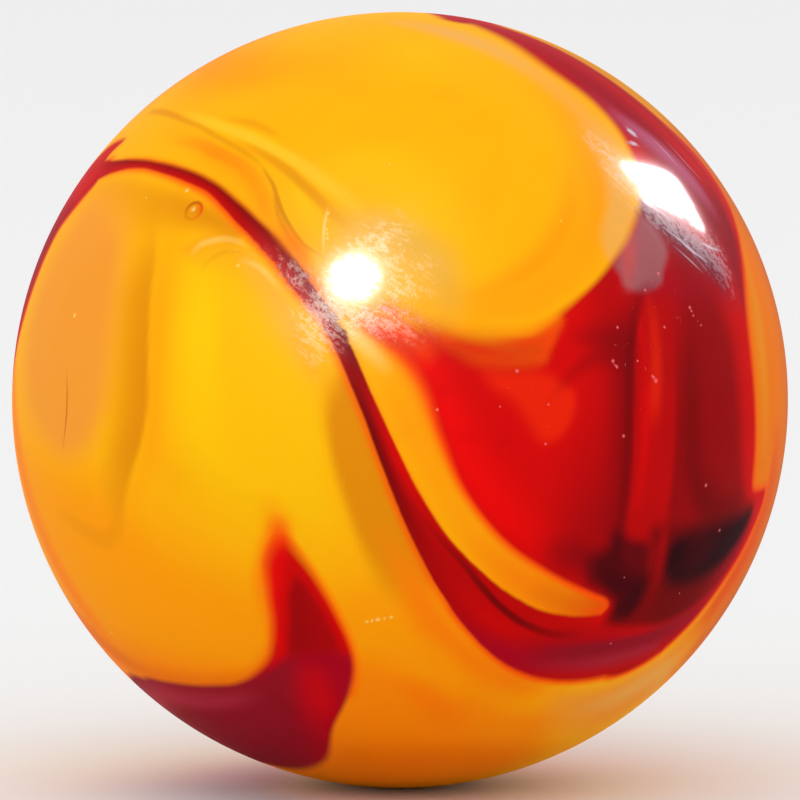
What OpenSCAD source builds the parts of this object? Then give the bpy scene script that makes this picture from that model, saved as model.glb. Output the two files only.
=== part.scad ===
/* [Ball] */
// Diameter of the ball
diameter = 16; // [12.7:0.1:25]

/* [Hidden] */
$fn = 96;
radius = diameter / 2;

// The swirl is red glass in amber glass, and the two are fused into one ball.
// A place on the ball is [turn, rise] in degrees: turn goes to the right from the front, and rise is up from
// the equator. The middle line of a ribbon has [turn, rise, half the width].

// The vein: a broad root round the left side, a thread over the front, and a broad tail at the lower right.
VEIN_ROOT = [[-100, 23, 8], [-91, 27, 8], [-84, 32, 5.5], [-78, 36, 3.2], [-71, 37.8, 1.5]];
VEIN_THREAD = [[-64, 39, 0.8], [-57, 39.5, 0.6], [-49.5, 39, 0.7], [-42.5, 37.9, 0.8], [-36.3, 36.2, 0.9],
    [-31, 33.8, 1], [-26.3, 30.6, 1.1], [-20.5, 26.3, 1.2], [-16.4, 22.5, 0.9], [-13.3, 19.5, 0.8],
    [-10.4, 15.2, 1], [-7.7, 9.6, 1.1], [-4.3, 3, 1.2], [-1.7, -3.2, 1.4]];
VEIN_TAIL = [[1.3, -9.4, 1.7], [4.9, -16, 2.3], [9.3, -21.9, 3.1], [14.5, -27.2, 3.9], [20.2, -31.2, 4.7],
    [26.8, -33.8, 5.5], [33.8, -34.9, 6.1], [41, -35, 6]];
VEIN = concat(VEIN_ROOT, VEIN_THREAD, VEIN_TAIL);

// The ribbons of the back and of the underside.
BACK_VEIN = [[-96, 25, 8], [-107, 20, 8], [-120, 12, 7], [-135, 1, 6.5], [-150, -13, 7], [-166, -27, 7.5],
    [-184, -37, 7], [-202, -42, 5], [-217, -42, 2.5], [-228, -38, 0.8]];
BACK_BAND = [[62, 80, 3], [100, 80, 6], [136, 70, 9], [150, 55, 10], [154, 38, 9], [151, 22, 6.5],
    [143, 8, 3.5], [134, -4, 1]];
UNDER_BAND = [[-68, -54, 11], [-92, -61, 11], [-125, -61, 8], [-150, -56, 4.5], [-168, -50, 1]];

// The broad field on the right: its upper edge, the band that it sends over the top, its right edge, its
// lower edge, and its left edge beside the vein.
FIELD_UPPER = [[-6, 16], [-2, 18.3], [4.5, 15.8], [13, 14.3], [21, 15.4], [29.4, 20], [35.5, 24.3],
    [41.5, 29], [48.5, 36], [52.5, 44.5], [53, 52]];
FIELD_BAND = [[50, 61], [52, 70], [57, 78], [84, 85], [87, 78], [79, 68.5], [77, 58], [78, 48]];
FIELD_RIGHT = [[81, 39], [79, 31], [71, 23], [66, 16], [64, 8], [64.5, -4], [66, -11], [72, -12]];
FIELD_LOWER = [[69, -19], [64, -27], [58, -34.5], [51, -39], [43, -40], [38, -34], [36, -28], [33, -25]];
FIELD_LEFT = [[23.6, -20.8], [15.6, -15.4], [9.5, -8], [6, 0], [3.7, 7], [0.5, 11.6]];
FIELD = concat(FIELD_UPPER, FIELD_BAND, FIELD_RIGHT, FIELD_LOWER, FIELD_LEFT);

// The tongue that comes up from below: its left edge, its root on the underside, and its right edge.
TONGUE_LEFT = [[-18, -13.5], [-21, -17], [-21.3, -24], [-21.5, -30], [-25, -36.5], [-34, -41]];
TONGUE_ROOT = [[-48, -42.8], [-60, -42], [-82, -44], [-82, -62], [-50, -68], [-24, -62]];
TONGUE_RIGHT = [[-15.5, -51], [-10, -42.5], [-8.4, -35], [-10.4, -26.5], [-14, -18.5]];
TONGUE = concat(TONGUE_LEFT, TONGUE_ROOT, TONGUE_RIGHT);

// The red runs this deep into the ball, and is cut this far out to clear its surface: shares of the radius.
red_inner = 0.15;
red_outer = 1.1;
// Pieces that a curve has between two points of its list
steps = 2;

function direction(turn, rise) = [sin(turn) * cos(rise), -cos(turn) * cos(rise), sin(rise)];
function unit(v) = v / norm(v);
function sum(list, i = 0) = i < len(list) ? list[i] + sum(list, i + 1) : list[0] * 0;

// Point i of a list. Past an end it is the end point again, or round again where the list is closed.
function item(list, i, closed) =
    closed ? list[(i + len(list)) % len(list)] : list[max(0, min(len(list) - 1, i))];

// One point of a smooth curve from b to c, at t from 0 to 1, where a comes before b and d after c.
function between(a, b, c, d, t) =
    b + t / 2 * (c - a + t * (2 * a - 5 * b + 4 * c - d + t * (3 * (b - c) + d - a)));

// The same list with new points on a smooth curve through its points.
function smooth(list, closed) = [
    for (i = [0:len(list) - (closed ? 1 : 2)])
        let (a = item(list, i - 1, closed), c = item(list, i + 1, closed), d = item(list, i + 2, closed))
        for (k = [0:steps - 1]) between(a, list[i], c, d, k / steps),
    if (!closed) list[len(list) - 1]
];

// The edge of a ribbon beside point i of its middle line: side 1 is its left and side -1 its right.
function edge(line, widths, i, side) = let (
    way = item(line, i + 1, false) - item(line, i - 1, false),
    across = unit(cross(line[i], way))
) unit(line[i] + side * tan(widths[i]) * across);

// The wedge of the ball that lies inside a closed rim of directions.
module wedge(rim) {
    inner = radius * red_inner;
    outer = radius * red_outer;
    axis = unit(sum(rim));
    east = unit(cross([0, 0, 1], axis));
    north = cross(axis, east);
    profile = [for (d = rim) inner / (d * axis) * [d * east, d * north]];
    multmatrix([for (k = [0:2]) [east[k], north[k], axis[k], inner * axis[k]]])
        linear_extrude(height = outer - inner, scale = outer / inner) polygon(profile);
}

module patch(outline) wedge([for (p = smooth(outline, true)) direction(p[0], p[1])]);

module ribbon(middle) {
    points = smooth(middle, false);
    line = [for (p = points) direction(p[0], p[1])];
    widths = [for (p = points) p[2]];
    last = len(points) - 1;
    left = [for (i = [0:last]) edge(line, widths, i, 1)];
    right = [for (i = [last:-1:0]) edge(line, widths, i, -1)];
    wedge(concat(left, right));
}

module red_glass() {
    ribbon(VEIN);
    ribbon(BACK_VEIN);
    ribbon(BACK_BAND);
    ribbon(UNDER_BAND);
    patch(FIELD);
    patch(TONGUE);
}

module ball() sphere(r = radius);

// One ball of two glasses: nothing of it comes apart.
module marble() {
    color("orange") difference() {
        ball();
        red_glass();
    }
    color("darkred") intersection() {
        ball();
        red_glass();
    }
}

marble();
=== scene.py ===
"""A glass playing marble: opaque amber glass with a swirl of red glass, on a pale studio floor."""

import math

import bpy
import numpy as np
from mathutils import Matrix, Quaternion, Vector


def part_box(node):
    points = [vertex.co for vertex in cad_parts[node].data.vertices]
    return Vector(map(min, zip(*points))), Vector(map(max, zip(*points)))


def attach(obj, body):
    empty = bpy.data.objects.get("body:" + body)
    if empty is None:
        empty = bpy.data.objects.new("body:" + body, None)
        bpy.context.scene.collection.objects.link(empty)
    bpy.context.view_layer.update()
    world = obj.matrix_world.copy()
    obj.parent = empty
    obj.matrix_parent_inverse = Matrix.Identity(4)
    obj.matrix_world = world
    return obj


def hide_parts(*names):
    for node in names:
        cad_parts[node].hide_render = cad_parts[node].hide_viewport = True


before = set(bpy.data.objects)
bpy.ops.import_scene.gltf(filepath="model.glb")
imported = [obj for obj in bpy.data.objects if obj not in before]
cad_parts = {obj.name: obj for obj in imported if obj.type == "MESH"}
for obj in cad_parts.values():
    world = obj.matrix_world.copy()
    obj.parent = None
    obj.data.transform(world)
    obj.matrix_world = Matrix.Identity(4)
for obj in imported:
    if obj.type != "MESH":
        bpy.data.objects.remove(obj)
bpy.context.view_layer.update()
BALL_LOW, BALL_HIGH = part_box("marble")
RADIUS = (BALL_HIGH.z - BALL_LOW.z) / 2

bl_info = {
    "name": "Glass Marble",
    "version": (1, 0, 0),
    "blender": (4, 5, 0),
    "location": "3D View > Sidebar > Marble",
    "description": "Builds a swirled glass marble on a studio floor",
    "category": "Add Mesh",
}

# A place on the ball is [turn, rise] in degrees: turn goes to the right from the front, and rise is up from
# the equator. What follows in a list is said above it.

# Outlines of red glass: [turn, rise, how far the edge is blurred].

# The broad field on the right and the band that goes from it over the top, in stretches of its outline.
FIELD_UPPER = [[-6, 16, 1.5], [-2, 18.3, 2], [4.5, 15.8, 2.2], [13, 14.3, 2.2], [21, 15.4, 1.3],
    [29.4, 20, 0.7], [35.5, 24.3, 0.8], [41.5, 29, 1], [48.5, 36, 1], [52.5, 44.5, 1.2], [53, 52, 1.6]]
FIELD_BAND = [[50, 61, 2], [52, 70, 2.2], [57, 78, 2], [84, 85, 1.5], [87, 78, 1.5], [79, 68.5, 1.2],
    [77, 58, 1], [78, 48, 1]]
FIELD_RIGHT = [[81, 39, 0.9], [79, 31, 0.9], [71, 23, 0.9], [66, 16, 0.9], [64, 8, 0.9],
    [64.5, -4, 0.8], [66, -11, 0.6], [72, -12, 0.5]]
FIELD_LOWER = [[70, -18.5, 0.7], [65.5, -25.5, 0.8], [60, -33, 0.8], [52.5, -39, 0.8], [43, -40.6, 0.6],
    [36.5, -34, 0.6], [31.6, -30.6, 0.5], [33.8, -29.2, 0.45], [35.5, -28.1, 0.45], [35.9, -26.8, 0.45],
    [34.6, -25.6, 0.45], [32, -24.6, 0.45]]
FIELD_LEFT = [[23.6, -20.8, 0.5], [15.6, -15.4, 0.4], [9.5, -8, 0.45], [6, 0, 0.8], [3.7, 7, 1],
    [0.5, 11.6, 1.2]]
FIELD = FIELD_UPPER + FIELD_BAND + FIELD_RIGHT + FIELD_LOWER + FIELD_LEFT

# The tongue that comes up from below at the left of the middle.
TONGUE = [[-17.5, -15.8, 1.8], [-20.3, -18.6, 1.3], [-20.9, -24, 1], [-21.5, -30, 1],
    [-24.5, -36.3, 0.9], [-32, -41, 0.8], [-41, -42.5, 0.8], [-54, -42.9, 0.8], [-63, -43, 0.8],
    [-71, -46, 1], [-78, -53, 1], [-82, -62, 2], [-50, -68, 2], [-24, -62, 1], [-15.5, -51, 0.6],
    [-10, -42.5, 0.6], [-8.4, -35, 0.6], [-10.9, -26.5, 0.7], [-14.3, -19.6, 1]]

# The wedge at the far left, where the vein comes round from the back.
SIDE = [[-86, 40, 1.2], [-80.5, 42.4, 0.9], [-74.4, 43.2, 0.8], [-76, 39.8, 0.7], [-71.5, 36, 0.8],
    [-74, 32.3, 1], [-76.3, 29.6, 1], [-78.4, 27, 1.1], [-79.4, 23, 1.2], [-80.2, 18, 1.3],
    [-82, 12, 1.3], [-85, 6, 1.2], [-89, -1, 1.1], [-93, -8, 1], [-97, -14, 0.8], [-101, -20, 0.5],
    [-102, -13, 0.6], [-105, -5, 0.8], [-110, 3, 0.8], [-117, 9, 1], [-113, 20, 1], [-98, 30, 1]]

# Ribbons of red glass by their middle line. Left and right are as seen along the way that the line runs, so
# left is up where it runs to the right, and to the viewer's right where it runs down.
# [turn, rise, half the width, blur of the left and the right edge, darkness on the left and the right].
VEIN = [[-100, 23, 8, 0.6, 0.8, 0.2, 0.2], [-91, 27, 8, 0.6, 0.8, 0.1, 0.1],
    [-84, 32, 5.5, 0.5, 0.8, 0, 0], [-78, 36, 3, 0.4, 0.7, 0.1, 0],
    [-71, 37.8, 1.6, 0.4, 0.5, 0.4, 0.1], [-64, 39, 1, 0.45, 0.35, 0.7, 0.2],
    [-57, 39.5, 0.75, 0.5, 0.3, 0.7, 0.3], [-49.5, 39, 0.85, 0.55, 0.3, 0.7, 0.3],
    [-42.3, 38, 0.93, 0.6, 0.3, 0.75, 0.3], [-35.8, 36.3, 0.92, 0.65, 0.3, 0.75, 0.3],
    [-30.7, 33.7, 1.08, 0.65, 0.3, 0.8, 0.35], [-25.9, 30.7, 1.25, 0.6, 0.3, 0.8, 0.4],
    [-20, 26.6, 1.4, 0.5, 0.3, 0.8, 0.4], [-16.2, 22.6, 1.35, 0.4, 0.3, 0.8, 0.4],
    [-13.2, 19.4, 1.15, 0.35, 0.3, 0.8, 0.4], [-9.9, 15.4, 1.15, 0.3, 0.3, 0.9, 0.5],
    [-7.1, 9.9, 1.06, 0.25, 0.25, 0.8, 0.7], [-4.05, 3.1, 1.22, 0.25, 0.25, 0.3, 0.9],
    [-1.5, -3.1, 1.5, 0.25, 0.25, 0, 0.9], [1.3, -9.4, 1.85, 0.3, 0.25, 0.15, 0.8],
    [4.9, -16, 2.4, 0.3, 0.25, 0.3, 0.6], [9.3, -21.9, 3.2, 0.3, 0.25, 0.35, 0.35],
    [14.5, -27.2, 4.1, 0.35, 0.3, 0.3, 0.1], [20.2, -31.2, 4.9, 0.4, 0.35, 0.3, 0],
    [26.8, -33.8, 5.7, 0.45, 0.5, 0.2, 0], [33.8, -34.7, 6.2, 0.5, 0.6, 0.1, 0],
    [41, -34.4, 6.4, 0.6, 0.7, 0, 0], [47, -33.3, 6.6, 0.7, 0.8, 0, 0],
    [53, -31.2, 6.4, 0.7, 0.8, 0, 0]]
# [turn, rise, half the width, blur of the edges].
BACK_VEIN = [[-96, 25, 8, 0.6], [-107, 20, 8, 0.6], [-120, 12, 7, 0.6], [-135, 1, 6.5, 0.6],
    [-150, -13, 7, 0.5], [-166, -27, 7.5, 0.5], [-184, -37, 7, 0.5], [-202, -42, 5, 0.5],
    [-217, -42, 2.5, 0.5], [-228, -38, 0.8, 0.5]]
BACK_BAND = [[62, 80, 3, 1.5], [100, 80, 6, 1.2], [136, 70, 9, 0.8], [150, 55, 10, 0.6],
    [154, 38, 9, 0.6], [151, 22, 6.5, 0.5], [143, 8, 3.5, 0.5], [134, -4, 1, 0.8]]
UNDER_BAND = [[-68, -54, 11, 1], [-92, -61, 11, 1], [-125, -61, 8, 0.8], [-150, -56, 4.5, 0.8],
    [-168, -50, 1, 1]]

# Tones, laid one over another. Each is a colour of the settings and either a soft stroke along a line of
# [turn, rise, reach to the left, reach to the right, strength], or a strength and an outline of
# [turn, rise, blur]. First come those of the amber.

# Over the top, above the vein and the field.
DOME = [
    ("honey", [[-20, 45, 5, 5, 0], [-12, 42, 8, 8, 0.5], [-2, 39, 10, 10, 0.6], [5, 33, 10, 9, 0.6],
        [11, 26, 7, 7, 0.3]]),
    ("honey", [[0, 72, 8, 8, 0.1], [9, 67, 9, 9, 0.4], [15, 60, 8, 8, 0.1]]),
    # Painted shade: darker towards the upper-left limb.
    ("orange", [[-92, 64, 14, 12, 0.7], [-72, 60, 14, 10, 0.9], [-50, 59, 14, 9, 0.7],
        [-28, 62, 12, 8, 0.3]]),
    ("orange", [[5, 18, 3, 4, 0.1], [12, 17.5, 4, 4, 0.5], [20, 19.5, 5, 6, 0.6], [28, 24.5, 6, 7, 0.6],
        [35, 31, 7, 7, 0.7], [41, 40, 8, 7, 0.8], [44, 50, 8, 7, 0.6], [42, 60, 7, 7, 0.2]]),
    ("orange", [[6, 22, 2.5, 2.5, 0], [11.4, 20, 3, 2.5, 0.4], [18.9, 22.8, 3.5, 2.5, 0.7],
        [24.7, 26.5, 4, 2.5, 0.7], [30.3, 32.7, 4, 2.5, 0.6], [33, 39, 4, 2.5, 0.2]]),
    # Painted shade: darker at the upper-left limb.
    ("rust", [[-100, 78, 8, 8, 0], [-95, 68, 8, 8, 0.3], [-92, 58, 8, 8, 0.5], [-90, 50, 7, 7, 0.4],
        [-89, 44, 6, 6, 0]]),
    ("milk", [[3, 79, 4, 3, 0.6], [25, 74, 5, 4, 1], [37, 67, 5, 4, 0.9], [43, 59, 4, 4, 0.6],
        [46, 50, 4, 4, 0.5], [46, 44, 5, 4, 0.9], [43, 38, 4, 3, 0.9], [40, 32, 4, 3, 0.9],
        [37, 27, 3, 3, 0.6]]),
    ("orange", [[-60, 46, 3, 3, 0.1], [-48, 44.5, 3, 3.5, 0.4], [-38, 41.5, 2.5, 3.5, 0.6],
        [-30, 38.5, 2.2, 4, 0.6], [-24, 34, 2, 4, 0.6]]),
    ("honey", [[-58, 49.6, 2, 2, 0.1], [-45, 47.8, 2, 2, 0.5], [-34, 46, 2, 2, 0.6],
        [-26, 43.6, 2, 2, 0.6], [-20, 38.8, 2.4, 2.4, 0.7], [-16.5, 33.5, 2.4, 2.2, 0.7],
        [-13, 29.5, 2, 2, 0.4]]),
    ("rust", [[-20, 27.5, 1.5, 2, 0.3], [-16, 24, 2.2, 3, 0.9], [-12.5, 20.5, 2.5, 3, 0.8],
        [-9, 17.5, 2, 2, 0.6]]),
    # Scratched amber round the round lamp's highlight, partly painted highlight haze.
    ("khaki", [[-14, 32, 3, 3, 0], [-8, 31.5, 4, 5, 0.5], [-1, 29.5, 5, 6, 0.75], [5, 25, 6, 5, 0.7],
        [7.5, 19, 4, 4, 0.4], [6, 14, 3, 3, 0]]),
    # A painted reflection: the pale patch beside the long lamp's highlight.
    ("milk", 0.6, [[34.8, 28.6, 0.8], [36.8, 31.4, 0.8], [40.6, 33.3, 0.8], [44.4, 33.1, 0.8],
        [46, 31, 0.8], [42, 28, 0.8], [37.7, 24.6, 0.8], [35.3, 24, 0.8], [34.6, 26, 0.8]]),
]

# To the left of the vein and below it.
LEFT_SIDE = [
    ("orange", 0.8, [[-95, 2, 8], [-70, -5, 8], [-52, -8, 6], [-44, -12, 6], [-36, -18, 7],
        [-26, -22, 7], [-14, -24, 7], [-4, -22, 5], [6, -24, 5], [10, -32, 4], [18, -42, 5],
        [12, -62, 8], [-20, -72, 10], [-60, -72, 10], [-95, -50, 12]]),
    ("honey", 0.85, [[-36.5, 24, 2.5], [-32, 27.5, 3], [-25, 26, 3], [-19, 21, 4], [-14, 13, 4],
        [-11, 3, 3], [-10, -6, 4], [-10, -13, 5], [-18, -16, 6], [-27, -13, 7], [-32.5, -6, 5],
        [-35.5, 2, 3], [-36, 10, 2.5], [-36, 18, 2.5]]),
    ("gold", [[-32, 22, 4, 4, 0.3], [-31, 16, 5, 5, 1], [-30, 9, 5, 5, 0.9], [-29, 0, 6, 6, 0.5],
        [-28, -8, 6, 6, 0.1]]),
    ("tawny", [[-74, 33, 4, 7, 0.1], [-62, 35, 4, 8, 0.4], [-50, 34, 4, 8, 0.55],
        [-41, 33, 4, 6.5, 0.75], [-34, 31.5, 3, 4, 0.9], [-28, 29, 2, 2.2, 0.8]]),
    ("tawny", [[-45.5, 29, 2, 7, 0.2], [-43, 24, 1.5, 9, 0.6], [-42, 19, 1.3, 10, 0.8],
        [-40.9, 14, 1.1, 10, 0.85], [-40, 8, 1, 10, 0.9], [-39.8, 3, 1.1, 10, 0.9],
        [-41, -2, 1.2, 9, 0.9], [-43, -6, 1.4, 8, 0.8], [-45.7, -11, 1.8, 6, 0.5],
        [-47.5, -15, 2, 4, 0.1]]),
    ("peach", 1.0, [[-68, 33, 5], [-57, 32, 5], [-51, 27, 4], [-48.5, 20, 3.6], [-47.2, 10, 3.6],
        [-48, 3, 3.2], [-50.5, -2, 3.2], [-54, -4.6, 3.2], [-60, -5.4, 3.2], [-68, -2, 4.5],
        [-74, 4, 6], [-76, 13, 6], [-74, 24, 6]]),
    ("orange", [[-40.5, 26, 4, 2, 0.2], [-39.5, 18, 4, 2, 0.4], [-38.3, 8, 4, 2, 0.4],
        [-38.6, -2, 4, 2, 0.4], [-42, -9, 4, 2, 0.2]]),
    ("apricot", [[-95, 22, 12, 12, 0.7], [-92, 10, 10, 10, 0.5], [-91, 0, 8, 8, 0.1]]),
    # Painted shade: darker along the left limb.
    ("pumpkin", [[-87, 12, 5, 5, 0.2], [-84, 4, 6, 6, 0.7], [-80, -6, 6, 6, 0.8], [-76, -16, 6, 6, 0.8],
        [-72, -26, 6, 6, 0.9], [-68, -33, 5, 5, 0.8]]),
    ("pumpkin", [[-19.4, -8, 2.6, 2.6, 0], [-19, -11, 3.2, 3.2, 0.35], [-18.4, -14, 3.6, 3.6, 0.9],
        [-20.2, -18, 3.6, 3, 1], [-21.6, -23, 3, 3, 0.9], [-21.8, -28, 2.4, 2.4, 0.6],
        [-22, -33, 2, 2, 0.2]]),
    ("fire", [[-18.6, -11.6, 2, 2, 0], [-18, -14.2, 2.6, 2.6, 0.7], [-18, -17, 3, 3, 0.9]]),
    ("apricot", 0.35, [[-37.4, 26.2, 0.9], [-35, 28, 0.9], [-32, 29, 1], [-28.6, 28.6, 1],
        [-25, 26.8, 1], [-20.5, 22.6, 1], [-16.5, 18, 1.2], [-13.4, 12.6, 1.4], [-12.4, 8.6, 1.6],
        [-15, 11, 2.4], [-18.4, 15.6, 2.8], [-23, 20.6, 3], [-28, 23.4, 2.8], [-34, 24.4, 2]]),
    # Pale haze beside the round lamp's highlight: scratches, partly painted highlight haze.
    ("cream", [[-24, 24.5, 2, 3, 0.1], [-20, 21, 2.5, 4, 0.15], [-16.6, 16.6, 3, 5, 0.2],
        [-14.4, 11.6, 3, 4.5, 0.05], [-12.6, 7, 2, 3, 0]]),
    ("tawny", 0.95, [[-9.6, 7, 2.6], [-10.6, 3, 1.6], [-9.8, -3, 1.1], [-8.2, -9, 1.2],
        [-6.2, -15, 1.3], [-4.4, -19, 2], [-1.5, -23, 3], [3, -24, 3], [6, -21, 2], [4, -16, 1],
        [0, -8, 1], [-4, 2, 1], [-7.6, 8.6, 2]]),
    ("pumpkin", [[-4, -12, 3, 3, 0], [-1, -17, 4, 4, 0.4], [1.6, -22, 5, 4, 0.9], [5, -28, 5, 5, 1],
        [10, -33, 4, 5, 1], [16, -37.5, 4, 6, 1], [24, -41, 4, 6, 0.9], [32, -43, 3, 5, 0.3]]),
]

# Round the foot. Most tones here are painted shade, darker towards the bottom and the lower-left limb; a
# pale patch low on the right is a painted reflection.
FOOT = [
    # Painted shade: this and the next are darker towards the bottom.
    ("pumpkin", 0.7, [[-85, -36, 6], [-60, -36, 5], [-42, -38, 4], [-26, -38, 3], [-14, -37, 3],
        [-4, -36, 4], [6, -41, 4], [16, -43, 4], [26, -46, 4], [40, -50, 5], [40, -72, 8],
        [-20, -80, 10], [-85, -62, 10]]),
    ("rust", [[-10, -60, 8, 12, 0.6], [5, -60, 8, 12, 0.6], [20, -60, 8, 12, 0.6],
        [38, -62, 8, 12, 0.5]]),
    ("fire", [[0, -40, 3, 3, 0.1], [4, -42, 4, 4, 0.22], [8, -46, 4, 4, 0.2], [12, -50, 4, 4, 0.1]]),
    ("orange", [[1, -31, 3, 3, 0], [5, -34.3, 3, 3.5, 0.8], [8, -37, 3, 4, 0.9], [11, -40.5, 3, 4, 0.7],
        [13, -44, 3, 3, 0]]),
    # Painted shade along the lower-left limb, and a painted shadow just above the tongue's lower edge.
    ("rust", [[-96, -16, 9, 9, 0.5], [-88, -30, 8, 8, 0.7], [-76, -36, 7, 5, 0.9],
        [-62, -41, 4, 4, 0.8], [-48, -42.5, 4, 4, 0.8], [-34, -41.5, 3.5, 3.5, 0.8],
        [-27, -38.5, 2.5, 2.5, 0.6], [-23.5, -34, 2, 2, 0.2]]),
    # A painted reflection: this and the next are a pale patch low on the right.
    ("peach", 0.9, [[34, -45, 4], [48, -42.5, 2.5], [60, -37, 2.5], [66, -36, 2.5], [74, -44, 4],
        [62, -53, 4], [46, -53, 5]]),
    ("milk", [[44, -48, 3, 3, 0.3], [54, -46, 5, 5, 0.9], [63, -42, 5, 5, 0.9], [69, -45, 4, 5, 0.5]]),
]

# To the right of the field, towards the right limb, where the amber is darker, partly as painted shade.
RIGHT_RIM = [
    ("rust", 0.95, [[77, 36, 3], [84, 46, 4], [96, 30, 8], [97, 0, 8], [92, -30, 8], [80, -45, 6],
        [66, -33, 3], [66, -20, 3], [61, 0, 3], [66, 20, 3]]),
    ("apricot", [[73, 24, 2, 3, 0.3], [70, 14, 2.5, 4, 0.9], [68.5, 5, 2.5, 4, 0.9],
        [69, -5, 2, 3, 0.4]]),
    ("flame", [[73, 0, 5, 2, 0], [74, -9, 8, 2, 0.6], [73, -18, 9, 3, 0.8], [69, -26, 8, 3, 0.8],
        [64, -33, 6, 3, 0.5], [58, -38, 4, 3, 0]]),
    # Painted shade: a darker band along the right limb.
    ("umber", [[84, 76, 7, 10, 0.2], [82, 64, 7, 10, 0.5], [84, 52, 7, 10, 0.5], [87, 40, 8, 12, 0.5],
        [87, 20, 8, 12, 0.4], [86, 0, 8, 12, 0.35], [84, -18, 8, 12, 0.4], [79, -32, 7, 8, 0.4],
        [73, -44, 4, 4, 0]]),
]

# The curved limb between the vein and the field.
BANANA = [
    ("pumpkin", [[-6, 16, 3, 3, 0.3], [-1, 13, 3.6, 3.6, 0.8], [2.6, 8, 3.6, 3.6, 0.9],
        [5, 1.5, 3.4, 3.4, 0.8], [8.2, -6, 3, 3, 0.6], [13, -12.5, 3, 3, 0.4], [20, -18, 3, 3, 0.2]]),
    ("fire", [[-6, 16, 2.6, 2.6, 0.4], [-0.4, 12.6, 2.6, 2.6, 0.8], [3, 8, 2.4, 2.4, 0.8],
        [5.4, 1.5, 2.2, 2.2, 0.7], [8.6, -6, 1.8, 1.8, 0.5], [13.4, -12.5, 1.6, 1.6, 0.2]]),
    ("orange", [[-4, 13, 3, 3, 0], [0, 4, 5, 5, 0.7], [4, -4, 5, 5, 0.7], [8, -11, 5, 5, 0.7],
        [13, -18, 5, 5, 1], [20, -24, 5, 5, 1]]),
    ("pumpkin", [[11, -14, 4, 4, 0], [15, -18, 4, 4, 0.5], [19, -21.5, 5, 5, 0.9], [25, -25, 6, 6, 1],
        [34, -28, 6, 6, 1]]),
    ("rust", [[20, -22.5, 3, 3, 0], [24, -24.6, 4, 4, 0.7], [29, -26.6, 5, 5, 1],
        [35, -27.5, 5, 5, 1]]),
    ("flame", [[26, -25.5, 3, 3, 0], [30, -26.6, 4, 4, 0.3], [34, -27.2, 4, 4, 0.7]]),
    # Pale haze just below the round lamp's highlight: scratches, partly painted highlight haze.
    ("cream", [[-7.6, 15, 2, 2, 0.9], [-5, 12.8, 2, 2, 0.8], [-2, 9.6, 1.6, 1.6, 0.2]]),
]

# On the back.
REVERSE = [
    ("orange", 0.8, [[110, 45, 8], [130, 25, 8], [128, 0, 8], [140, -20, 8], [165, -30, 8],
        [170, -50, 9], [140, -65, 9], [105, -45, 9], [98, 0, 8]]),
    ("honey", 0.8, [[176, 45, 7], [205, 50, 8], [235, 40, 8], [245, 25, 7], [225, 22, 7], [205, 8, 7],
        [188, -5, 7], [172, 12, 7]]),
    ("gold", [[190, 30, 6, 6, 0.3], [205, 30, 8, 8, 0.9], [222, 34, 6, 6, 0.3]]),
    ("tawny", [[166, 58, 3, 6, 0.2], [168, 40, 1.6, 7, 0.8], [164, 22, 1.4, 7, 1],
        [156, 6, 1.5, 7, 0.9], [146, -8, 2, 6, 0.3]]),
    ("tawny", [[240, -8, 3, 6, 0.1], [228, -14, 2, 7, 0.8], [214, -24, 2, 7, 0.9],
        [198, -30, 2, 5, 0.3]]),
    ("peach", 0.9, [[112, 24, 6], [124, 14, 6], [126, -4, 6], [118, -18, 6], [106, -16, 6],
        [104, 6, 6]]),
    ("milk", [[225, -46, 3, 3, 0.2], [240, -40, 4, 4, 0.8], [254, -30, 4, 4, 0.7],
        [262, -16, 3, 3, 0.2]]),
    # Darker towards the bottom, like the painted shade at the front.
    ("rust", [[120, -60, 10, 10, 0.5], [160, -66, 10, 10, 0.8], [205, -64, 10, 10, 0.6],
        [240, -60, 10, 10, 0.3]]),
]
AMBER_TONES = DOME + LEFT_SIDE + FOOT + RIGHT_RIM + BANANA + REVERSE

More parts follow.
